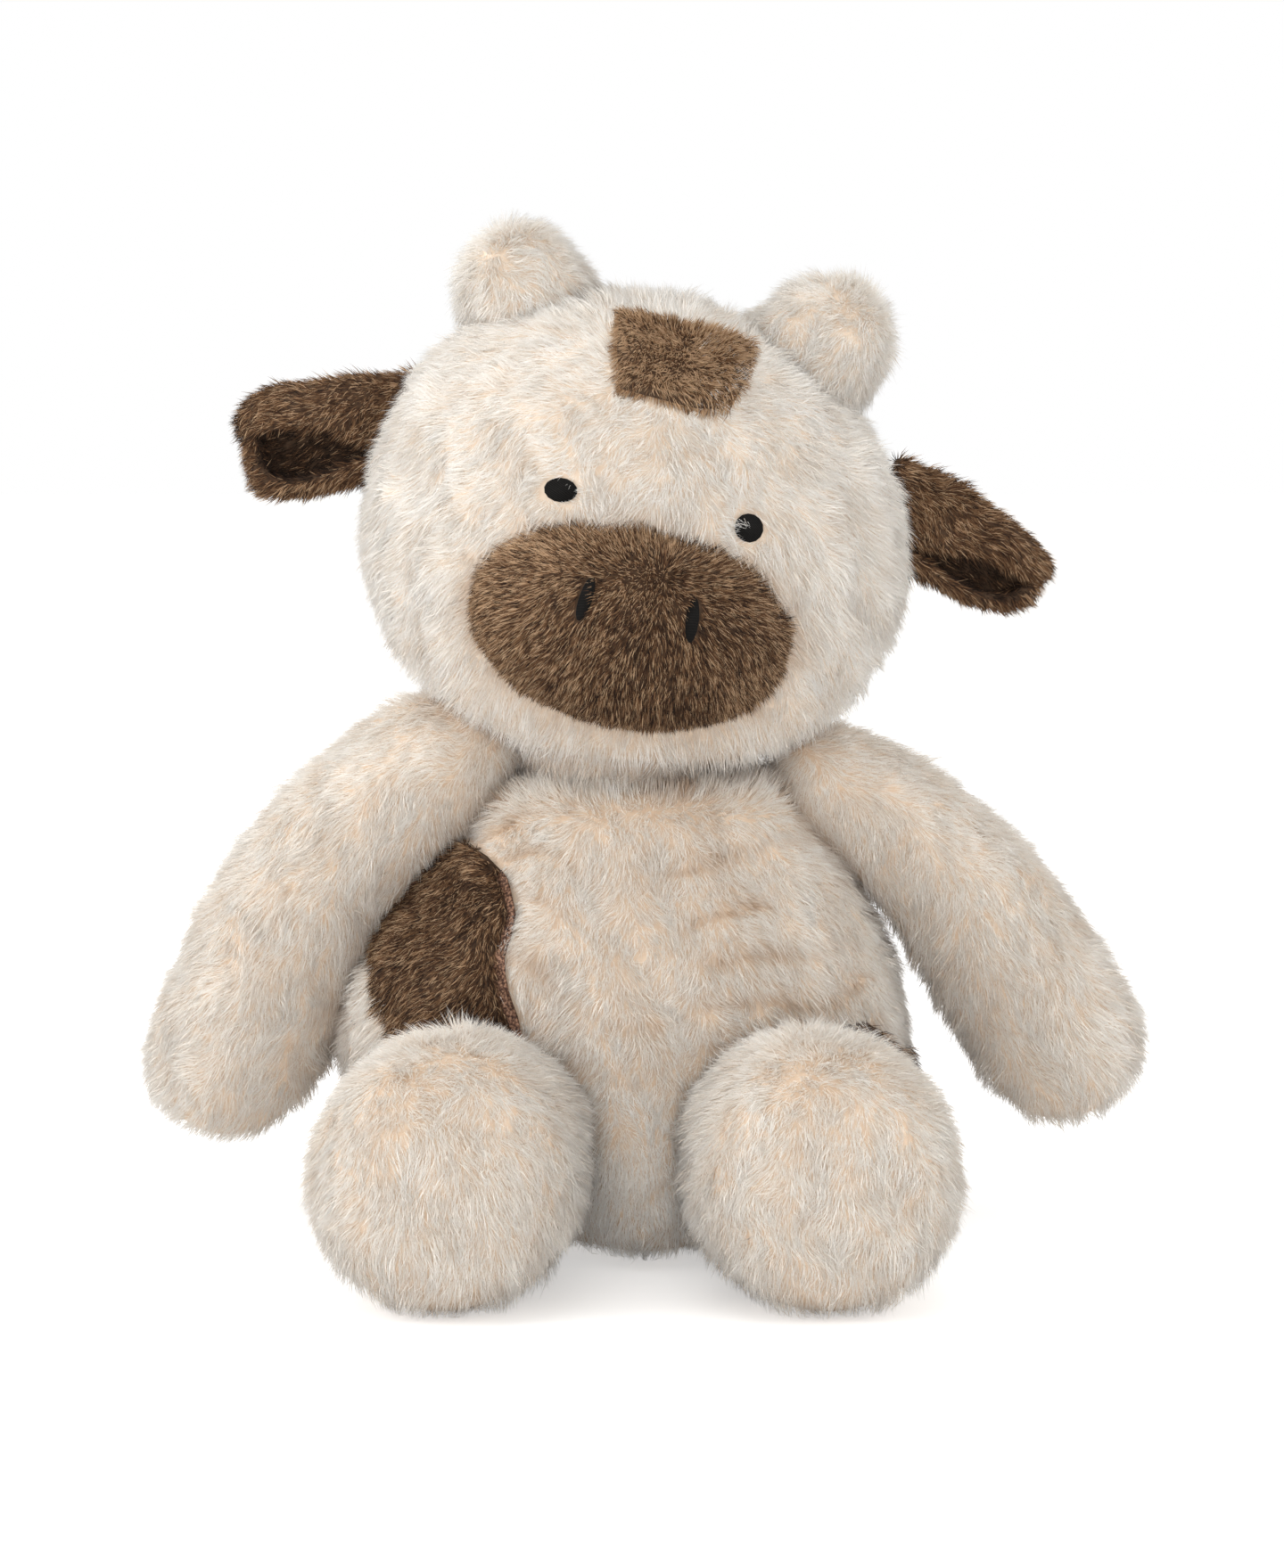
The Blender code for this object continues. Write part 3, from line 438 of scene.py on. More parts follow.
def grow_pile(form, body, slot, material, flow, density, length, lift, seed, clump=(22, 0.45),
              thickness=0.22 * MM, wander=0.5, shade=(0.58, 0.06, 0.09), beside=(), outside=(),
              over=None, bare=(), painted_shade_beside=(), weight=None, shade_at=None, lift_at=None, waves=0.0):
    """Cover a form with combed pile, in as many meshes as its strands need.

    density is how many long and how many short strands stand on a square millimetre.
    beside names thin pieces and outside solid ones to keep clear of, with margins, except
    where over says that the pile stands all the same. The pile is trimmed short of the bare
    pieces, and near the pieces in painted_shade_beside it is painted darker, as shade where they meet.
    """
    chance = np.random.default_rng(seed)
    number = 0
    for segments, per_mm2, size in ((2, density[0], 1.0), (1, density[1], 0.86)):
        points, normals = scatter(form, per_mm2 * (1), chance, weight)
        keep = np.ones(len(points), dtype=bool)
        for near, margin in beside:
            keep[keep] = np.abs(depth_from(points[keep], near, margin + MM)) > margin
        if over is not None:
            keep |= over(points)
        for near, margin in outside:
            keep[keep] = depth_from(points[keep], near, abs(margin) + MM) > margin
        points, normals = points[keep], normals[keep]
        count = len(points)
        way = flow(points, normals)
        way = way - normals * (way * normals).sum(1, keepdims=True)
        still = np.exp(-(np.linalg.norm(way, axis=1) / 0.3) ** 2)
        way = unit(way)
        across = np.cross(normals, way)
        turn = wander * (ripple(points, 16 * MM, seed + 1) + 0.5 * ripple(points, 6 * MM, seed + 2)) \
            + 0.32 * chance.normal(size=count)
        way = way * np.cos(turn)[:, None] + across * np.sin(turn)[:, None]
        lifts = lift + 0.13 * ripple(points, 22 * MM, seed + 3) + 0.1 * ripple(points, 7 * MM, seed + 8) \
            + 0.2 * chance.normal(size=count)
        middle, patchy, mixed = shade
        shades = middle + patchy * ripple(points, 15 * MM, seed + 5) \
            + mixed * (chance.laplace(size=count) + 0.4 * ripple(points, 2.4 * MM, seed + 10))
        if waves:
            fall = points[:, 2] / (WAVE_HEIGHT) + 0.5 * ripple(points * (1, 1, 0.3), 45 * MM, seed + 6)
            swell = fall - np.floor(fall)
            strength = waves * np.clip(0.5 + ripple(points, 40 * MM, seed + 7), 0, 1)
            lifts = lifts + strength * 0.4 * (1 - swell)
            # Just below each parting the pile is darker: partly the roots that the parting shows, partly
            # painted shadow of the band above.
            shades = shades - strength * 0.45 * np.exp(-(swell / 0.25) ** 2)
        if lift_at is not None:
            lifts = lifts + lift_at(points, normals)
        lifts = np.maximum(lifts + (1.3 - lifts) * still, LEAST_LIFT)
        lengths = size * length * (1 + 0.14 * ripple(points, 13 * MM, seed + 4)
                                   + 0.10 * ripple(points, 6 * MM, seed + 9)) \
            * chance.uniform(0.7, 1.15, count)
        # painted shade: the pile is darker close to a neighbouring piece, where it lies in shade
        for near in painted_shade_beside:
            depth = depth_from(points, near, CREASE_SHADE_REACH)
            shades = shades - 0.5 * np.clip(1 - depth / CREASE_SHADE_REACH, 0, 1) ** 1.5
        if shade_at is not None:
            shades = shades + shade_at(points, normals)
        for near in bare:
            trimmed = np.ones(count)
            for reach in (0.9, 0.6, 0.35):
                spots = points + way * (lengths * reach)[:, None]
                trimmed[np.abs(depth_from(spots, near, 3 * MM)) < 1.2 * MM] = reach - 0.12
            lengths = np.where(chance.random(count) < 0.06, lengths, lengths * trimmed)
        order = np.argsort(points[:, 0] + 0.37 * points[:, 2])
        each = 9 if segments == 2 else 3
        for pick in np.array_split(order, math.ceil(count * each / MOST_TRIANGLES)):
            number += 1
            tuft = strands(f"{form.name}_pile_{number}", points[pick], normals[pick], way[pick],
                           lengths[pick], lifts[pick], thickness, shades[pick], clump, chance, segments)
            dress(tuft, material, body, slot)


def downward(out=0.0):
    """Pile that hangs down, and a little away from the body's middle line."""
    def flow(points, normals):
        return unit(points * (1, 1, 0)) * out - UP
    return flow


def loose_below(points, normals):
    """Pile hangs free of the skin on an underside."""
    return 0.8 * np.clip(-normals[:, 2] - 0.25, 0, 1)


def front_first(back=0.6):
    """Fewer strands on what faces backwards or down."""
    def weight(points, normals):
        facing = np.clip(0.5 - normals[:, 1] * 0.9, 0, 1)
        under = np.clip(1.2 + normals[:, 2] * 1.2, 0.25, 1)
        return (back + (1 - back) * facing) * under
    return weight


body_rings = []
for height_share, width_share, depth_share, back_share in BODY_PROFILE:
    body_rings.append((0, BODY_SET_BACK * back_share,
                       height_share * (BODY_HEIGHT + FLOOR_SINK) - FLOOR_SINK,
                       BODY_HALF_WIDTH * width_share, BODY_HALF_DEPTH * depth_share))
body_skin = stuffed_form("body_skin", body_rings, BODY_AROUND, Matrix())
for vert in body_skin.data.vertices:
    if vert.co.y < 0:
        fullness = math.exp(-(vert.co.x / BELLY_SPREAD) ** 2 - (vert.co.z / BELLY_RISE) ** 2)
        vert.co.y -= BELLY_FORWARD * fullness * (1 - math.exp(-max(0, vert.co.z + 6 * MM) / (8 * MM)))
settle(body_skin)
dress(body_skin, cream_backing, "body", "cream_pile", "body_cover", fill=0.85)

# ---- Head cover: paler pile, a broad ball that leans to the cow's left

NECK_PLACE = (-5, -2, 132)
HEAD_TILT = math.radians(11.5)
HEAD_TURN = math.radians(3)
HEAD_PLACE = (-7.2, -8, 48.2)
HEAD_HALF = (69.5, 56, 60)
HEAD_FULLNESS = 2.25
CROWN_SLOPE = 0.07          # how much flatter the cow's left side of the crown is
CROWN_REACH = 45            # how far out and up it takes to be in full
HEAD = (Matrix.Translation(NECK_PLACE) @ Euler((0, HEAD_TILT, HEAD_TURN)).to_matrix().to_4x4()
        @ Matrix.Translation(HEAD_PLACE))


def rounded_rings(half_width, half_depth, half_height, steps, fullness):
    """Rings of a ball that is a little fuller than an ellipsoid."""
    rings = []
    for step in range(steps + 1):
        angle = math.pi * step / steps
        rise, share = -math.cos(angle), math.sin(angle)
        reach = (abs(rise) ** fullness + share ** fullness) ** (-1 / fullness)
        rings.append((0, 0, rise * reach * half_height, share * reach * half_width,
                      share * reach * half_depth))
    return rings


def place_on(matrix, point):
    """A point in millimetres of a piece's own frame, in metres of the world."""
    return np.array(matrix @ Vector(point)) * MM


head_backing = lumpy_cloth("head_backing", ((0.3, (0.66, 0.52, 0.40)), (0.7, (0.76, 0.64, 0.52))),
                           2.5 * MM, 0.6 * MM)
HEAD_SHADES = ((0.0, (0.60, 0.46, 0.35)), (0.3, (0.79, 0.72, 0.64)), (0.6, (0.88, 0.85, 0.80)),
               (1.0, (0.97, 0.96, 0.94)))
head_pile = pile_material("head_pile_fibres", HEAD_SHADES, (0.92, 0.86, 0.80))
head_skin = stuffed_form("head_skin", rounded_rings(*HEAD_HALF, 9, HEAD_FULLNESS), 14, HEAD)
for vert in head_skin.data.vertices:
    away = (Matrix.Scale(MM, 4) @ HEAD).inverted() @ vert.co
    if away.x > 0 and away.z > 0:
        flatter = CROWN_SLOPE * min(1, away.x / CROWN_REACH) * min(1, away.z / CROWN_REACH)
        vert.co = vert.co.lerp(HEAD.translation * MM, flatter)
dress(head_skin, head_backing, "head", "cream_head_pile", "head_cover", fill=0.9)

# ---- Neck: where the head's cover is drawn in and sewn to the body's

NECK_RADIUS = 28
neck_rings = rounded_rings(NECK_RADIUS, NECK_RADIUS, NECK_RADIUS, 8, 2)
neck_skin = stuffed_form("neck_skin", neck_rings, 16, Matrix.Translation(NECK_PLACE))
dress(neck_skin, cream_backing, "neck", "cream_pile", "neck_stuffing", fill=0.9)
# The neck's pile has a darker middle shade: painted shade of the crease under the chin.
grow_pile(neck_skin, "neck", "cream_pile", cream_pile, downward(0.3), (0.4, 2.4), 8 * MM, 0.7, 45,
          outside=[(head_skin, -2 * MM), (body_skin, -2 * MM)], shade=(0.35, 0.1, 0.12))

# ---- Muzzle: a stuffed pad of short brown pile, sunk into the face's pile

BROWN_THICKNESS = 0.26 * MM
MUZZLE_HALF = (40, 30, 26)
MUZZLE_PLACE = (0, -41, -19.8)
MUZZLE = HEAD @ Matrix.Translation(MUZZLE_PLACE)
BROWN_SHADES = ((0.0, (0.013, 0.007, 0.004)), (0.35, (0.064, 0.030, 0.014)), (0.6, (0.17, 0.089, 0.043)),
                (0.85, (0.38, 0.23, 0.125)), (1.0, (0.64, 0.45, 0.28)))
brown_backing = lumpy_cloth("brown_backing", ((0.3, (0.045, 0.025, 0.015)), (0.7, (0.09, 0.055, 0.033))),
                            1.5 * MM, 0.5 * MM)
brown_pile = pile_material("brown_pile_fibres", BROWN_SHADES, (0.5, 0.40, 0.33), 0.85, 0.0)
muzzle_pad = stuffed_form("muzzle_pad", rounded_rings(*MUZZLE_HALF, 8, 2.15), 18, MUZZLE)
dress(muzzle_pad, brown_backing, "head", "brown_pile", "muzzle", fill=0.9)


def from_whorl(matrix, point, fall=0.0, calm=7 * MM):
    """Pile that runs away from a whorl, and falls a little; it stands up at the whorl."""
    centre = place_on(matrix, point)

    def flow(points, normals):
        away = points - centre
        return away / (np.linalg.norm(away, axis=1, keepdims=True) + calm) - UP * fall
    return flow


def muzzle_weight(points, normals):
    """No pile on the half of the pad that lies inside the head."""
    middle = place_on(HEAD, (0, 0, MUZZLE_PLACE[2]))
    return ((points - middle) @ np.array(HEAD.to_3x3() @ Vector((0, -1, 0))) > 44 * MM).astype(float)


def paler_edge_and_painted_lit_crown(points, normals):
    """The pad's pile is paler round its lower edge, and painted lighter on its crown, as light from above
    falls there.
    """
    middle = place_on(MUZZLE, (6, 0, 4))
    away = (points - middle)[:, (0, 2)]
    rise = np.clip(away[:, 1] / (16 * MM), 0, 1)
    # the second term is painted light from above on the crown
    return 0.13 * np.clip(np.linalg.norm(away, axis=1) / (26 * MM) - 0.6, 0, 1) + 0.22 * rise


# ---- Embroidery: eyes and nostrils in raised black satin stitch

BLACK_THREAD = ((0.2, (0.002, 0.002, 0.002)), (0.8, (0.013, 0.012, 0.011)))
STITCH = 0.32 * MM          # from one stitch to the next


def satin_stitch(name, steps, across):
    """Thread laid side by side: its colour and its relief run in fine rows."""
    material, nodes, links, shader = cloth_shader(name, 0.7)
    shader.inputs["Specular IOR Level"].default_value = 0.1
    place = nodes.new("ShaderNodeTexCoord")
    rows = nodes.new("ShaderNodeTexWave")
    rows.bands_direction = across
    rows.inputs["Scale"].default_value = 2 * math.pi / (20 * STITCH)
    rows.inputs["Distortion"].default_value = 2
    ramp = colour_steps(nodes, steps)
    bump = nodes.new("ShaderNodeBump")
    bump.inputs["Distance"].default_value = 0.15 * MM
    links.new(place.outputs["Object"], rows.inputs["Vector"])
    links.new(rows.outputs["Fac"], ramp.inputs["Fac"])
    links.new(ramp.outputs["Color"], shader.inputs["Base Color"])
    links.new(rows.outputs["Fac"], bump.inputs["Height"])
    links.new(bump.outputs["Normal"], shader.inputs["Normal"])
    return material


eye_thread = satin_stitch("black_eye_stitches", BLACK_THREAD, "DIAGONAL")
nostril_thread = satin_stitch("black_nostril_stitches", BLACK_THREAD, "Z")


def carried(node, material, body, slot):
    """A thin sewn piece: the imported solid, welded and softened at its edge."""
    piece = bpy.data.objects.new(node + "_sewn", frame["nodes"][node].data.copy())
    bpy.context.scene.collection.objects.link(piece)
    weld = piece.modifiers.new("weld", "WELD")
    weld.merge_threshold = 0.00001
    apply_modifiers(piece)
    activate(piece)
    bpy.ops.object.shade_smooth_by_angle(angle=math.radians(50))
    dress(piece, material, body, slot, node)
    return piece


NOSTRIL_TURN = math.radians(-12)        # the left one was sewn more upright
EYE_SHARES = ((0.86, 0.95), (0.97, 0.80))       # how wide and how tall each is kept, the left one first
eyes = [carried("eye_left", eye_thread, "head", "black_thread"),
        carried("eye_right", eye_thread, "head", "black_thread")]
for eye, (wide, tall) in zip(eyes, EYE_SHARES):
    middle = sum((vert.co for vert in eye.data.vertices), Vector()) / len(eye.data.vertices)
    eye.data.transform(Matrix.Translation(middle) @ Matrix.Diagonal((wide, 1, tall, 1))
                       @ Matrix.Translation(-middle))
nostrils = [carried("nostril_left", nostril_thread, "head", "black_thread"),
            carried("nostril_right", nostril_thread, "head", "black_thread")]
middle = sum((vert.co for vert in nostrils[0].data.vertices), Vector()) / len(nostrils[0].data.vertices)
nostrils[0].data.transform(Matrix.Translation(middle) @ Matrix.Rotation(NOSTRIL_TURN, 4, "Y")
                           @ Matrix.Translation(-middle))
grow_pile(muzzle_pad, "head", "brown_pile", brown_pile, from_whorl(MUZZLE, (6, -29, 17), 0.25),
          (1.0, 6.1), 3.6 * MM, 0.85, 21, clump=(6, 0.3), wander=0.3, thickness=BROWN_THICKNESS,
          shade=(0.45, 0.06, 0.36), beside=[(n, 0.45 * MM) for n in nostrils],
          shade_at=paler_edge_and_painted_lit_crown, weight=muzzle_weight)

# ---- Forehead patch, side patch and hip patch: brown pile let into the cream

forehead = carried("forehead_patch", brown_backing, "head", "brown_pile")
HAIRLINE = 53.5             # how high up the head the patch shows; the cream covers its top
HAIRLINE_MIX = 1.6          # over which the two piles stand among each other
PATCH_SINK = 5              # how far the covered part lies below it


def past_hairline(points, more=-HAIRLINE_MIX):
    """Where the head's pile covers the top of the forehead patch."""
    upright = np.array(HEAD.to_3x3() @ Vector((0, 0, 1)))
    return (points - place_on(HEAD, (0, 0, 0))) @ upright > (HAIRLINE + more) * MM


for vert in forehead.data.vertices:
    if past_hairline(np.array(vert.co), HAIRLINE_MIX):
        vert.co -= (vert.co - HEAD.translation * MM).normalized() * (PATCH_SINK * MM)
side_patch = carried("side_patch", brown_backing, "body", "brown_pile")
hip_patch = carried("hip_patch", brown_backing, "body", "brown_pile")
COPPER_STEPS = ((0.38, (0.03, 0.012, 0.007)), (0.5, (0.10, 0.046, 0.026)), (0.62, (0.29, 0.16, 0.10)))
copper_thread = lumpy_cloth("copper_thread", COPPER_STEPS, 0.6 * MM, 0.3 * MM, 0.6)
edging = carried("side_patch_edging", copper_thread, "body", "copper_thread")
settle(side_patch)
settle(edging)
FLANK_LINE = -70            # beyond it the cream pile lies over the patch
FLANK_SINK = 5


def past_flank(points):
    """Where the body's pile covers the outer edge of the side patch."""
    return points[:, 0] < FLANK_LINE * MM


for vert in side_patch.data.vertices:
    if vert.co.x < FLANK_LINE * MM:
        vert.co.x += FLANK_SINK * MM
EDGING_SLIM = 0.62          # how far its sides are drawn in to its middle line
EDGING_NEAR = 3.4 * MM      # what counts as the edging's own stretch round a point
EDGING_SHIFT = 0.9 * MM     # back against the patch
spots = [vert.co.copy() for vert in edging.data.vertices]
for vert in edging.data.vertices:
    close = [spot for spot in spots if (spot - vert.co).length < EDGING_NEAR]
    vert.co = vert.co.lerp(sum(close, Vector()) / len(close), EDGING_SLIM)
    vert.co.x -= EDGING_SHIFT


def outward_only(middle):
    """Pile only on the faces that look away from a middle."""
    centre = np.array(middle) * MM

    def weight(points, normals):
        return ((unit(points - centre) * normals).sum(1) > 0.2).astype(float)
    return weight


def below_hairline(points, normals):
    """The patch's outer face, as far up as it shows."""
    return outward_only(HEAD.translation)(points, normals) * ~past_hairline(points, HAIRLINE_MIX / 2)


grow_pile(forehead, "head", "brown_pile", brown_pile, from_whorl(HEAD, (0, -30, 75), 0.2),
          (1.0, 6.5), 4.0 * MM, 0.75, 31, clump=(8, 0.35), wander=0.5, shade=(0.96, 0.10, 0.26),
          thickness=BROWN_THICKNESS, weight=below_hairline)
grow_pile(side_patch, "body", "brown_pile", brown_pile, downward(0.5),
          (1.0, 5.5), 4.2 * MM, 0.7, 32, clump=(8, 0.3), wander=0.4, shade=(0.46, 0.06, 0.34),
          thickness=BROWN_THICKNESS,
          weight=lambda points, normals: outward_only((0, 6, 60))(points, normals) * ~past_flank(points))
grow_pile(hip_patch, "body", "brown_pile", brown_pile, downward(0.3),
          (0.8, 3.5), 5 * MM, 0.45, 33, clump=(12, 0.4), wander=0.2, shade=(0.46, 0.08, 0.32),
          thickness=BROWN_THICKNESS,
          weight=outward_only((0, 6, 40)))

# ---- Horns: two stuffed knobs of the head's pile

HORN_RADIUS = 15.8
HORN_ROOT = 24
HORN_SPREAD = 39.3
HORN_SIDE_SET = -1.7
HORN_RISE = {"left": 57, "right": 54.5}
HORN_ROOT_SHARES = ((1.00, 0.0), (1.00, 0.60), (0.86, 1.12), (0.40, 1.04))
HORN_KNOB_SHARES = ((0.0, 1.00), (0.60, 0.80), (0.92, 0.42), (1.00, 0.0))


def straight_rings(shares, start, length, radius):
    """Rings of a round form along +Z."""
    return [(0, 0, start + along * length, radius * size, radius * size) for along, size in shares]


horn_rings = (straight_rings(HORN_ROOT_SHARES, 0, -HORN_ROOT, HORN_RADIUS)
              + straight_rings(HORN_KNOB_SHARES, 0, HORN_RADIUS, HORN_RADIUS))
horns = []
for side, sign in (("left", 1), ("right", -1)):
    lean = math.atan2(HORN_SPREAD, HORN_RISE[side])
    HORN = (HEAD @ Matrix.Translation((HORN_SIDE_SET + sign * HORN_SPREAD, 0, HORN_RISE[side]))
            @ Matrix.Rotation(sign * lean, 4, "Y"))
    horn = stuffed_form(f"horn_{side}_knob", horn_rings, 12, HORN)
    dress(horn, head_backing, "head", "cream_head_pile", f"horn_{side}", fill=0.8)
    horns.append((horn, HORN))

# ---- Ears: two brown fabrics sewn back to back and folded into a leaf

EAR_SPREAD = 64.7
EAR_RISE = {"left": 16.5, "right": 11.5}
EAR_BACK = 2
EAR_SEAM_LEAN = math.radians(-12)
EAR_DROOP = {"left": math.radians(15), "right": math.radians(20)}
EAR_LENGTH = 41.5
EAR_HALF_HEIGHT = 16.5
EAR_HALF_DEPTH = 7.5
EAR_CLOTH = 3.0
# where the fold's two edges face each other, as an angle from its crest
POCKET_MIDDLE = {"left": math.radians(-126), "right": math.radians(-116)}
POCKET_HALF = {"left": math.radians(20), "right": math.radians(25)}
EAR_LEAF = ((0.00, 0.84, 0.90), (0.10, 0.86, 0.60), (0.30, 0.94, 0.90), (0.50, 1.00, 1.00),
            (0.68, 1.00, 1.00), (0.84, 0.96, 0.90), (0.94, 0.84, 0.66), (1.00, 0.62, 0.36))
EAR_HANG = {"left": 2, "right": -2.5}   # how much lower its tip hangs than the seam's own line
EAR_ROOT_RISE = {"left": 2, "right": 4}
# share of the length, share of the leaf above its middle line and below it
EAR_EDGES = {"left": ((0.0, 1.02, 1.05), (0.39, 0.78, 1.10), (0.70, 0.47, 1.00), (0.93, 0.35, 0.74),
                      (1.0, 0.30, 0.5)),
             "right": ((0.0, 1.05, 1.15), (0.30, 0.92, 1.22), (0.67, 0.71, 1.18), (0.93, 0.62, 0.80),
                       (1.0, 0.52, 0.55))}
EAR_TIP_LEAN = {"left": 0.02, "right": 0.06}    # how much further its crest reaches at the tip
EAR_TIP_ROUND = 0.11        # how much less both of its edges reach there


def share_at(table, along):
    """Values read between listed rows."""
    for (start, *low), (end, *high) in zip(table, table[1:]):
        if along <= end:
            way = (along - start) / (end - start)
            return [a + (b - a) * way for a, b in zip(low, high)]
    return table[-1][1:]


for side, sign in (("left", 1), ("right", -1)):
    droop = EAR_DROOP[side]
    deselect()
    bpy.ops.mesh.primitive_grid_add(x_subdivisions=16, y_subdivisions=16, size=2)
    ear = bpy.context.object
    ear.name = ear.data.name = f"ear_{side}_leaf"
    for vert in ear.data.vertices:
        along = (vert.co.x + 1) / 2
        gap = POCKET_HALF[side] * max(0.12, math.sin(math.pi * min(1, max(0, along - 0.12) / 0.84)) ** 0.7)
        turn = POCKET_MIDDLE[side] + gap + 2 * (math.pi - gap) * (vert.co.y + 1) / 2
        tall, deep = share_at(EAR_LEAF, along)
        above, below = share_at(EAR_EDGES[side], along)
        side_of = math.cos(turn)
        tall *= below + (above - below) * min(1, max(0, 0.5 + 1.5 * side_of))
        tip = EAR_TIP_LEAN[side] * side_of - EAR_TIP_ROUND * side_of ** 2
        reach = along * EAR_LENGTH * (1 + tip * along ** 3)
        vert.co = (sign * reach * math.cos(droop), math.sin(turn) * EAR_HALF_DEPTH * deep,
                   math.cos(turn) * EAR_HALF_HEIGHT * tall - reach * math.sin(droop)
                   - EAR_HANG[side] * along ** 2 + EAR_ROOT_RISE[side] * (1 - along) ** 2)
    wall = ear.modifiers.new("two_fabrics", "SOLIDIFY")
    wall.thickness = EAR_CLOTH
    wall.offset = -sign
    rounding = ear.modifiers.new("rounding", "SUBSURF")
    rounding.levels = rounding.render_levels = 1
    apply_modifiers(ear)
    EAR = (HEAD @ Matrix.Translation((sign * EAR_SPREAD, EAR_BACK, EAR_RISE[side]))
           @ Matrix.Rotation(sign * EAR_SEAM_LEAN, 4, "Y"))
    ear.data.transform(Matrix.Scale(MM, 4) @ EAR)
    activate(ear)
    bpy.ops.object.shade_smooth()
    dress(ear, brown_backing, f"ear_{side}", "brown_pile", f"ear_{side}", fill=0.3)

    def painted_pocket_shade(points, normals, frame=EAR.inverted(), droop=droop):
        """Painted shade: darker where the fabric turns inwards."""
        turned = np.array(frame.to_3x3())
        local = points / MM @ turned.T + np.array(frame.translation)
        inner = local[:, 1:] + np.stack((np.zeros(len(points)), np.abs(local[:, 0]) * math.tan(droop)), 1)
        return -0.5 * ((inner * (normals @ turned.T)[:, 1:]).sum(1) < 0)

    tip_way = np.array(EAR.to_3x3() @ Vector((sign * math.cos(droop), 0, -math.sin(droop))))
    grow_pile(ear, f"ear_{side}", "brown_pile", brown_pile,
              lambda points, normals, way=tip_way: np.broadcast_to(way, points.shape) - UP * 0.6,
              (0.8, 4.1), 4.6 * MM, 0.55, 41 + sign, clump=(8, 0.35), wander=0.3,
              shade=(0.56, 0.06, 0.25), thickness=BROWN_THICKNESS, shade_at=painted_pocket_shade)

head_weight = front_first(0.48)
grow_pile(head_skin, "head", "cream_head_pile", head_pile, from_whorl(HEAD, (1, -42, 44), 0.3),
          (0.5, 3.75), 6.8 * MM, 0.58, 51, weight=head_weight, waves=0.3,
          lift_at=loose_below, over=past_hairline, bare=eyes, painted_shade_beside=[muzzle_pad],
          beside=[(e, 0.6 * MM) for e in eyes] + [(forehead, 0.4 * MM)],
          outside=[(muzzle_pad, -0.5 * MM)] + [(h, -1 * MM) for h, _ in horns])
FRINGE_REACH = 6.5 * MM     # round an eye's middle, seen from the front
FRINGE_DEPTH = 8 * MM       # and this far behind it
for number, eye in enumerate(eyes):
    centre = sum((Vector(corner) for corner in eye.bound_box), Vector()) / 8

    def below_eye(points, normals, centre=np.array(centre), lean=0.7 if centre.x > 0 else -0.3):
        """A fringe under the eye, on the side where the pile falls over it."""
        away = points - centre
        close = (np.linalg.norm(away[:, [0, 2]], axis=1) < FRINGE_REACH) & (away[:, 1] < FRINGE_DEPTH)
        return (close & (away[:, 2] < -lean * away[:, 0] - 1 * MM)).astype(float)

    grow_pile(head_skin, "head", "cream_head_pile", head_pile,
              lambda points, normals, centre=np.array(centre): centre - points + UP * 0.6 * MM,
              (2.0, 1.5), 3.8 * MM, 0.85, 57 + number, clump=(6, 0.15), thickness=0.15 * MM,
              beside=[(eye, 0.4 * MM)], weight=below_eye, shade=(0.8, 0, 0.1))
for number, (horn, HORN) in enumerate(horns):
    grow_pile(horn, "head", "cream_head_pile", head_pile,
              from_whorl(HORN, (0, 6, 19), 0.05, 10 * MM), (0.8, 4.4), 6.6 * MM, 0.7, 61 + number,
              wander=0.7, outside=[(head_skin, -0.5 * MM)])

# ---- Arms: long soft tubes that hang outwards

SHOULDER_SPREAD = 49.1
SHOULDER_SIDE_SET = -0.6
SHOULDER_HEIGHT = {"left": 113.2, "right": 114}
SHOULDER_RADIUS = {"left": 17.8, "right": 20.5}
SHOULDER_TOP = {"left": 17.8, "right": 27}      # how far it reaches up to the neck
SHOULDER_OUT = {"left": 0, "right": 6}
ARM_REACH = {"left": 89.5, "right": 93}
ARM_HALF_WIDTH = {"left": 21.5, "right": 23}
HAND_RADIUS = 21.5
ARM_BOW = {"left": 8.8, "right": 11.3}
ARM_SPREAD = {"left": math.radians(41.8), "right": math.radians(39.3)}
ARM_FORWARD = math.radians(8)
BALL_END = ((1.00, 0.0), (0.80, 0.58), (0.25, 0.96))
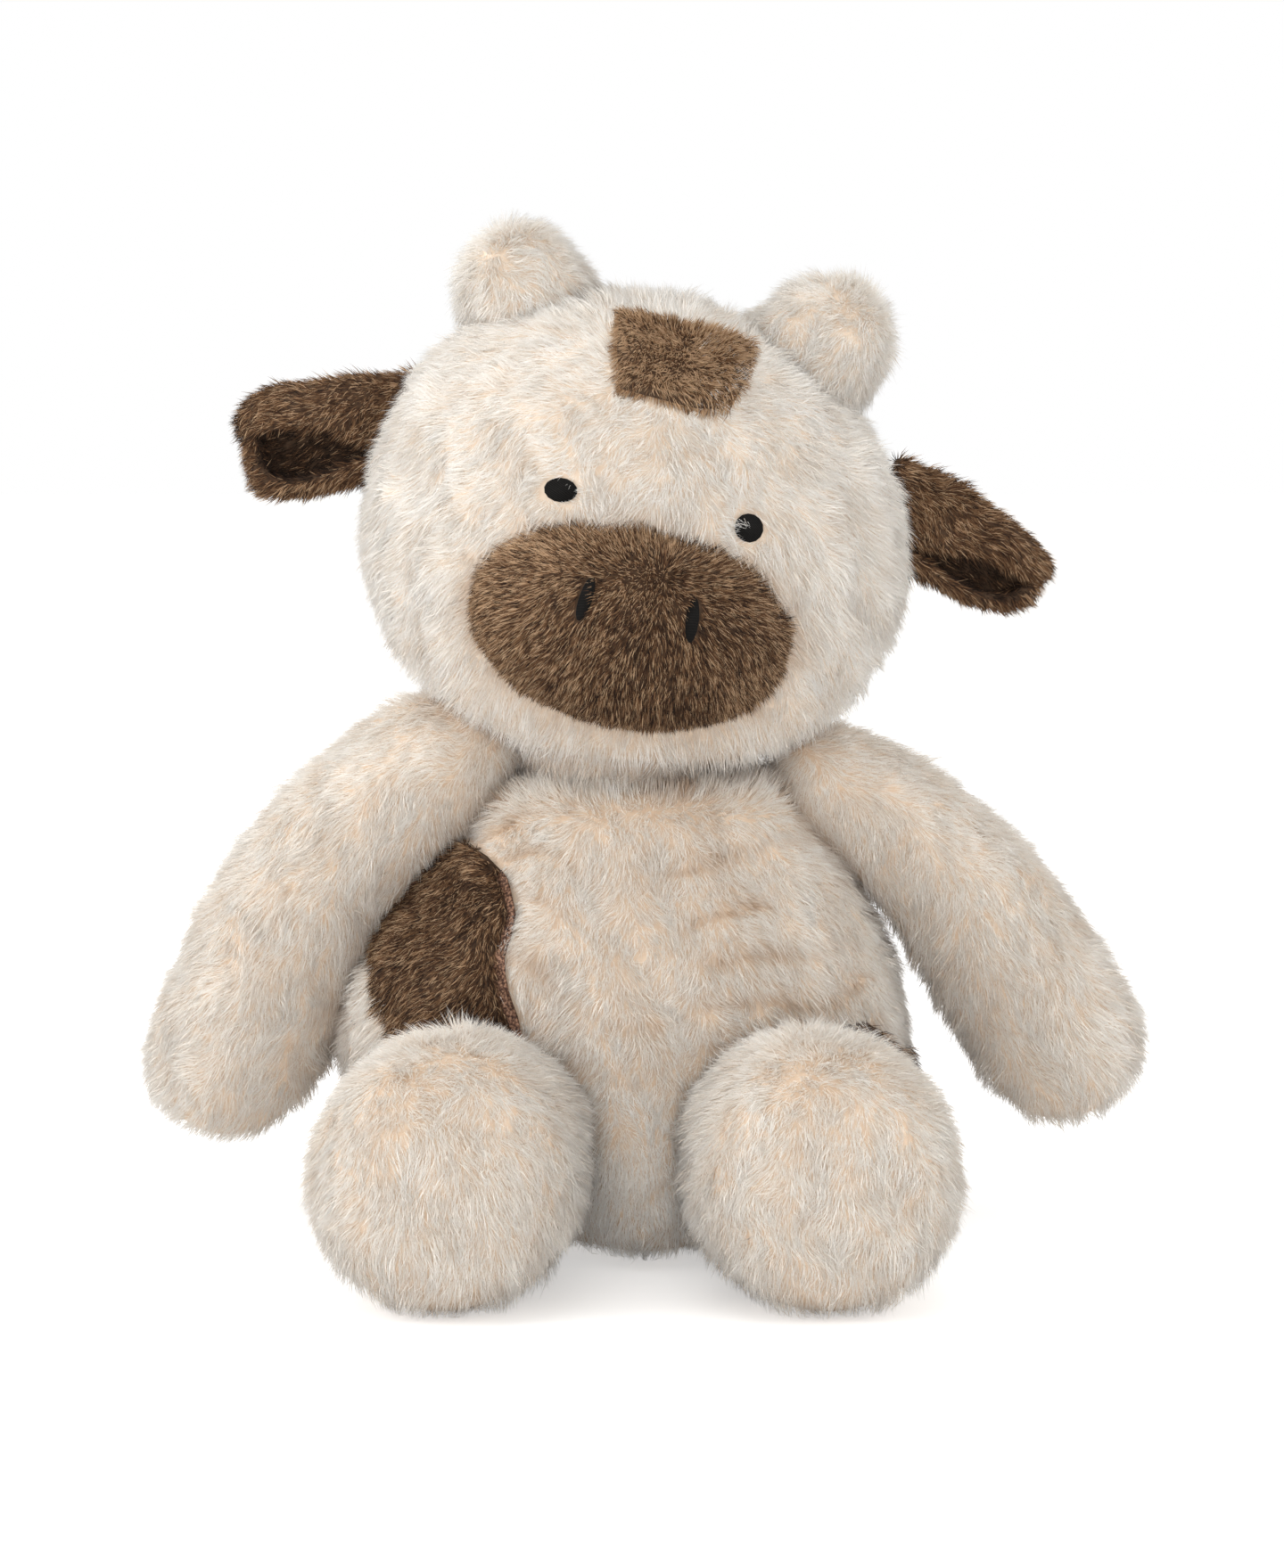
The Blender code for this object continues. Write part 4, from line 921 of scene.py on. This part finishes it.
# share of the reach, share of the half width, share of the bow
ARM_PROFILE = {"left": ((0.14, 0.76, 0.62), (0.36, 0.84, 1.0), (0.64, 0.97, 0.70), (0.88, 1.00, 0.2)),
               "right": ((0.14, 0.90, 0.85), (0.36, 0.87, 1.12), (0.64, 1.03, 0.70), (0.88, 1.01, 0.2))}
HAND_PROFILE = ((0.28, 0.97), (0.70, 0.74), (0.94, 0.40), (1.00, 0.0))
limbs = []
for side, sign in (("left", 1), ("right", -1)):
    arm_rings = [(sign * SHOULDER_OUT[side] * size, *ring) for size, (_, *ring) in zip(
        (0, 0.7, 1), straight_rings(BALL_END, 0, -SHOULDER_TOP[side], SHOULDER_RADIUS[side]))]
    for along, size, bow in ARM_PROFILE[side]:
        arm_rings.append((sign * ARM_BOW[side] * bow, 0, ARM_REACH[side] * along,
                          ARM_HALF_WIDTH[side] * size, ARM_HALF_WIDTH[side] * size))
    arm_rings += straight_rings(HAND_PROFILE, ARM_REACH[side], HAND_RADIUS, HAND_RADIUS)
    ARM = (Matrix.Translation((SHOULDER_SIDE_SET + sign * SHOULDER_SPREAD, 0, SHOULDER_HEIGHT[side]))
           @ Euler((math.pi + ARM_FORWARD, -sign * ARM_SPREAD[side], 0)).to_matrix().to_4x4())
    arm = stuffed_form(f"arm_{side}_skin", arm_rings, 10, ARM)
    dress(arm, cream_backing, f"arm_{side}", "cream_pile", f"arm_{side}", fill=0.7)
    limbs.append(arm)
    to_hand = np.array(ARM.to_3x3() @ Vector((0, 0, 1)))
    grow_pile(arm, f"arm_{side}", "cream_pile", cream_pile,
              lambda points, normals, way=to_hand: np.broadcast_to(way, points.shape) - UP * 0.3,
              (0.4, 3.65), 6.8 * MM, 0.6, 71 + sign, weight=front_first(0.5),
              outside=[(body_skin, 0.2 * MM), (head_skin, 0.2 * MM)], painted_shade_beside=[body_skin, head_skin])

# ---- Legs: short thighs that end in big round feet

HIP_SPREAD = 36.5
HIP_SIDE_SET = -2.5
HIP_FORWARD = 39
HIP_RADIUS = 23
LEG_REACH = 68
FOOT_HALF = (31.2, 32.6)
FOOT_DEPTH = 26
FOOT_SINK = 1
LEG_SPLAY = math.radians(8)
LEG_PROFILE = ((0.13, -0.08), (0.36, 0.50), (0.62, 0.88), (0.90, 1.00))
FOOT_PROFILE = ((0.34, 0.97), (0.76, 0.77), (0.97, 0.42), (1.00, 0.0))
legs = []
for side, sign in (("left", 1), ("right", -1)):
    leg_rings = straight_rings(BALL_END, 0, -HIP_RADIUS, HIP_RADIUS)
    for along, way in LEG_PROFILE:
        leg_rings.append((0, 0, LEG_REACH * along, HIP_RADIUS + (FOOT_HALF[0] - HIP_RADIUS) * way,
                          HIP_RADIUS + (FOOT_HALF[1] - HIP_RADIUS) * way))
    for past, size in FOOT_PROFILE:
        leg_rings.append((0, 0, LEG_REACH + FOOT_DEPTH * past, FOOT_HALF[0] * size, FOOT_HALF[1] * size))
    LEG = (Matrix.Translation((HIP_SIDE_SET + sign * HIP_SPREAD, -HIP_FORWARD, FOOT_HALF[1] - FOOT_SINK))
           @ Euler((math.pi / 2, 0, sign * LEG_SPLAY)).to_matrix().to_4x4())
    leg = stuffed_form(f"leg_{side}_skin", leg_rings, 10, LEG)
    dress(leg, cream_backing, f"leg_{side}", "cream_pile", f"leg_{side}", fill=0.9)
    legs.append(leg)
    grow_pile(leg, f"leg_{side}", "cream_pile", cream_pile,
              from_whorl(LEG, (0, 34, LEG_REACH - 28), 0.35),
              (0.4, 3.65), 6.8 * MM, 0.62, 81 + sign, weight=front_first(0.5),
              outside=[(body_skin, 0.2 * MM)], painted_shade_beside=[body_skin])


def up_to_the_chin(points, normals):
    """Pile stands up round the neck, and closes the seam under the head."""
    return 0.9 * np.clip((points[:, 2] - 106 * MM) / (8 * MM), 0, 1)


def painted_light_between_the_feet(points, normals):
    """Painted light: lighter pile low on the belly, between the feet, where the legs shade it."""
    return 0.35 * np.exp(-(points[:, 0] / (28 * MM)) ** 2 - (points[:, 2] / (45 * MM)) ** 2)


grow_pile(body_skin, "body", "cream_pile", cream_pile, downward(0.35),
          (0.4, 3.5), 6.8 * MM, 0.58, 91, weight=front_first(0.42), waves=1.0,
          painted_shade_beside=limbs + [head_skin], lift_at=up_to_the_chin, shade_at=painted_light_between_the_feet,
          over=past_flank, bare=[edging, side_patch],
          beside=[(side_patch, 0.5 * MM), (edging, 0.4 * MM), (hip_patch, 0.2 * MM)],
          outside=[(limb, -3 * MM) for limb in legs + limbs])

# ---- Tail: a thin cream tube with a brown tuft

TAIL_HEIGHT = 50
TAIL_RADIUS = 4.4
TAIL_LENGTH = 30
TAIL_ROOT_RADIUS = 6
TAIL_ROOT_SINK = 1.2
TAIL_LEAN = math.radians(36)
TAIL_ROOT = ((-1.0, 0.0), (-0.70, 0.70), (0.0, 1.00), (0.80, 0.52))
TAIL_PROFILE = ((0.50, 1.00), (0.85, 1.00), (1.00, 0.70), (1.00, 0.0))
TUFT_LENGTH = 18
TUFT_RADIUS = 7.5
TUFT_OVERLAP = 4
TUFT_PROFILE = ((0.0, 0.0), (0.0, 0.72), (0.45, 1.00), (0.85, 0.60), (1.00, 0.0))
TAIL = (Matrix.Translation((0, BODY_SET_BACK + BODY_HALF_DEPTH - TAIL_ROOT_SINK, TAIL_HEIGHT))
        @ Matrix.Rotation(math.pi + TAIL_LEAN, 4, "X"))
tail_rings = (straight_rings(TAIL_ROOT, 0, TAIL_ROOT_RADIUS, TAIL_ROOT_RADIUS)
              + straight_rings(TAIL_PROFILE, 0, TAIL_LENGTH, TAIL_RADIUS))
tail_skin = stuffed_form("tail_skin", tail_rings, 8, TAIL)
dress(tail_skin, cream_backing, "tail", "cream_pile", "tail", fill=0.7)
tuft_core = stuffed_form("tail_tuft_core", straight_rings(TUFT_PROFILE, TAIL_LENGTH - TUFT_OVERLAP,
                                                          TUFT_LENGTH, TUFT_RADIUS), 8, TAIL)
dress(tuft_core, brown_backing, "tail", "brown_pile", "tail_tuft", fill=0.6)
tail_way = np.array(TAIL.to_3x3() @ Vector((0, 0, 1)))


def down_tail(points, normals):
    """Pile along the tail, to its end."""
    return np.broadcast_to(tail_way, points.shape)


grow_pile(tail_skin, "tail", "cream_pile", cream_pile, down_tail, (0.6, 3.0), 6 * MM, 0.35, 95,
          outside=[(body_skin, 0.2 * MM)])
grow_pile(tuft_core, "tail", "brown_pile", brown_pile, down_tail, (1.2, 4.0), 8 * MM, 0.4, 97,
          shade=(0.42, 0.1, 0.22))

# ---- Floor, light and camera

scene = bpy.context.scene
scene.view_settings.view_transform = "Standard"
deselect()
bpy.ops.mesh.primitive_plane_add(size=8, location=(0, 0, -0.0002))
floor = bpy.context.object
floor.name = "floor"
paper, nodes, links, shader = cloth_shader("pale_floor", 0.9)
grain = nodes.new("ShaderNodeTexNoise")
grain.inputs["Scale"].default_value = 12
tone = colour_steps(nodes, ((0.0, (0.86, 0.86, 0.86)), (1.0, (0.9, 0.9, 0.9))))
seen = nodes.new("ShaderNodeLightPath")
glow = nodes.new("ShaderNodeMath")
glow.operation = "MULTIPLY"
glow.inputs[1].default_value = 0.44
place = nodes.new("ShaderNodeTexCoord")
links.new(place.outputs["Object"], grain.inputs["Vector"])
links.new(grain.outputs["Fac"], tone.inputs["Fac"])
links.new(tone.outputs["Color"], shader.inputs["Base Color"])
links.new(seen.outputs["Is Camera Ray"], glow.inputs[0])
links.new(glow.outputs["Value"], shader.inputs["Emission Strength"])
shader.inputs["Emission Color"].default_value = (1, 1, 1, 1)
floor.data.materials.append(paper)

world = bpy.data.worlds.new("studio")
scene.world = world
world.use_nodes = True
sky = world.node_tree.nodes
sky_links = world.node_tree.links
room = sky["Background"]
room.inputs["Color"].default_value = (1, 0.975, 0.94, 1)
room.inputs["Strength"].default_value = 0.71
backdrop = sky.new("ShaderNodeBackground")
backdrop.inputs["Color"].default_value = (1, 1, 1, 1)
backdrop.inputs["Strength"].default_value = 1
seen = sky.new("ShaderNodeLightPath")
either = sky.new("ShaderNodeMath")
either.operation = "MAXIMUM"
mix = sky.new("ShaderNodeMixShader")
sky_links.new(seen.outputs["Is Camera Ray"], either.inputs[0])
sky_links.new(seen.outputs["Is Glossy Ray"], either.inputs[1])
sky_links.new(either.outputs["Value"], mix.inputs["Fac"])
sky_links.new(room.outputs["Background"], mix.inputs[1])
sky_links.new(backdrop.outputs["Background"], mix.inputs[2])
sky_links.new(mix.outputs["Shader"], sky["World Output"].inputs["Surface"])


def soft_lamp(name, place, size, power):
    """A square soft box that looks at the toy."""
    lamp = bpy.data.lights.new(name, "AREA")
    lamp.shape = "SQUARE"
    lamp.size = size
    lamp.energy = power
    item = bpy.data.objects.new(name, lamp)
    item.location = place
    item.rotation_euler = (Vector((0, 0, 0.12)) - Vector(place)).to_track_quat("-Z", "Y").to_euler()
    scene.collection.objects.link(item)


soft_lamp("overhead", (-0.2, -0.3, 1.6), 1.2, 6.5)
soft_lamp("front", (0, -1.7, 0.22), 0.4, 9)
soft_lamp("left_side", (-1.45, -0.45, 0.62), 1.2, 16)
soft_lamp("right_side", (1.45, -0.4, 0.62), 1.2, 9.5)

CAMERA_DISTANCE = 1.3
CAMERA_ELEVATION = math.radians(6)
CAMERA_TARGET = Vector((-0.0008, 0, 0.115))
FRAME_HEIGHT = 0.4046       # what the picture's height spans at the toy
camera = bpy.data.objects.new("camera", bpy.data.cameras.new("camera"))
scene.collection.objects.link(camera)
camera.location = CAMERA_TARGET + CAMERA_DISTANCE * Vector((0, -math.cos(CAMERA_ELEVATION),
                                                           math.sin(CAMERA_ELEVATION)))
camera.rotation_euler = (math.pi / 2 - CAMERA_ELEVATION, 0, 0)
camera.data.lens = camera.data.sensor_width * CAMERA_DISTANCE / FRAME_HEIGHT
scene.camera = camera
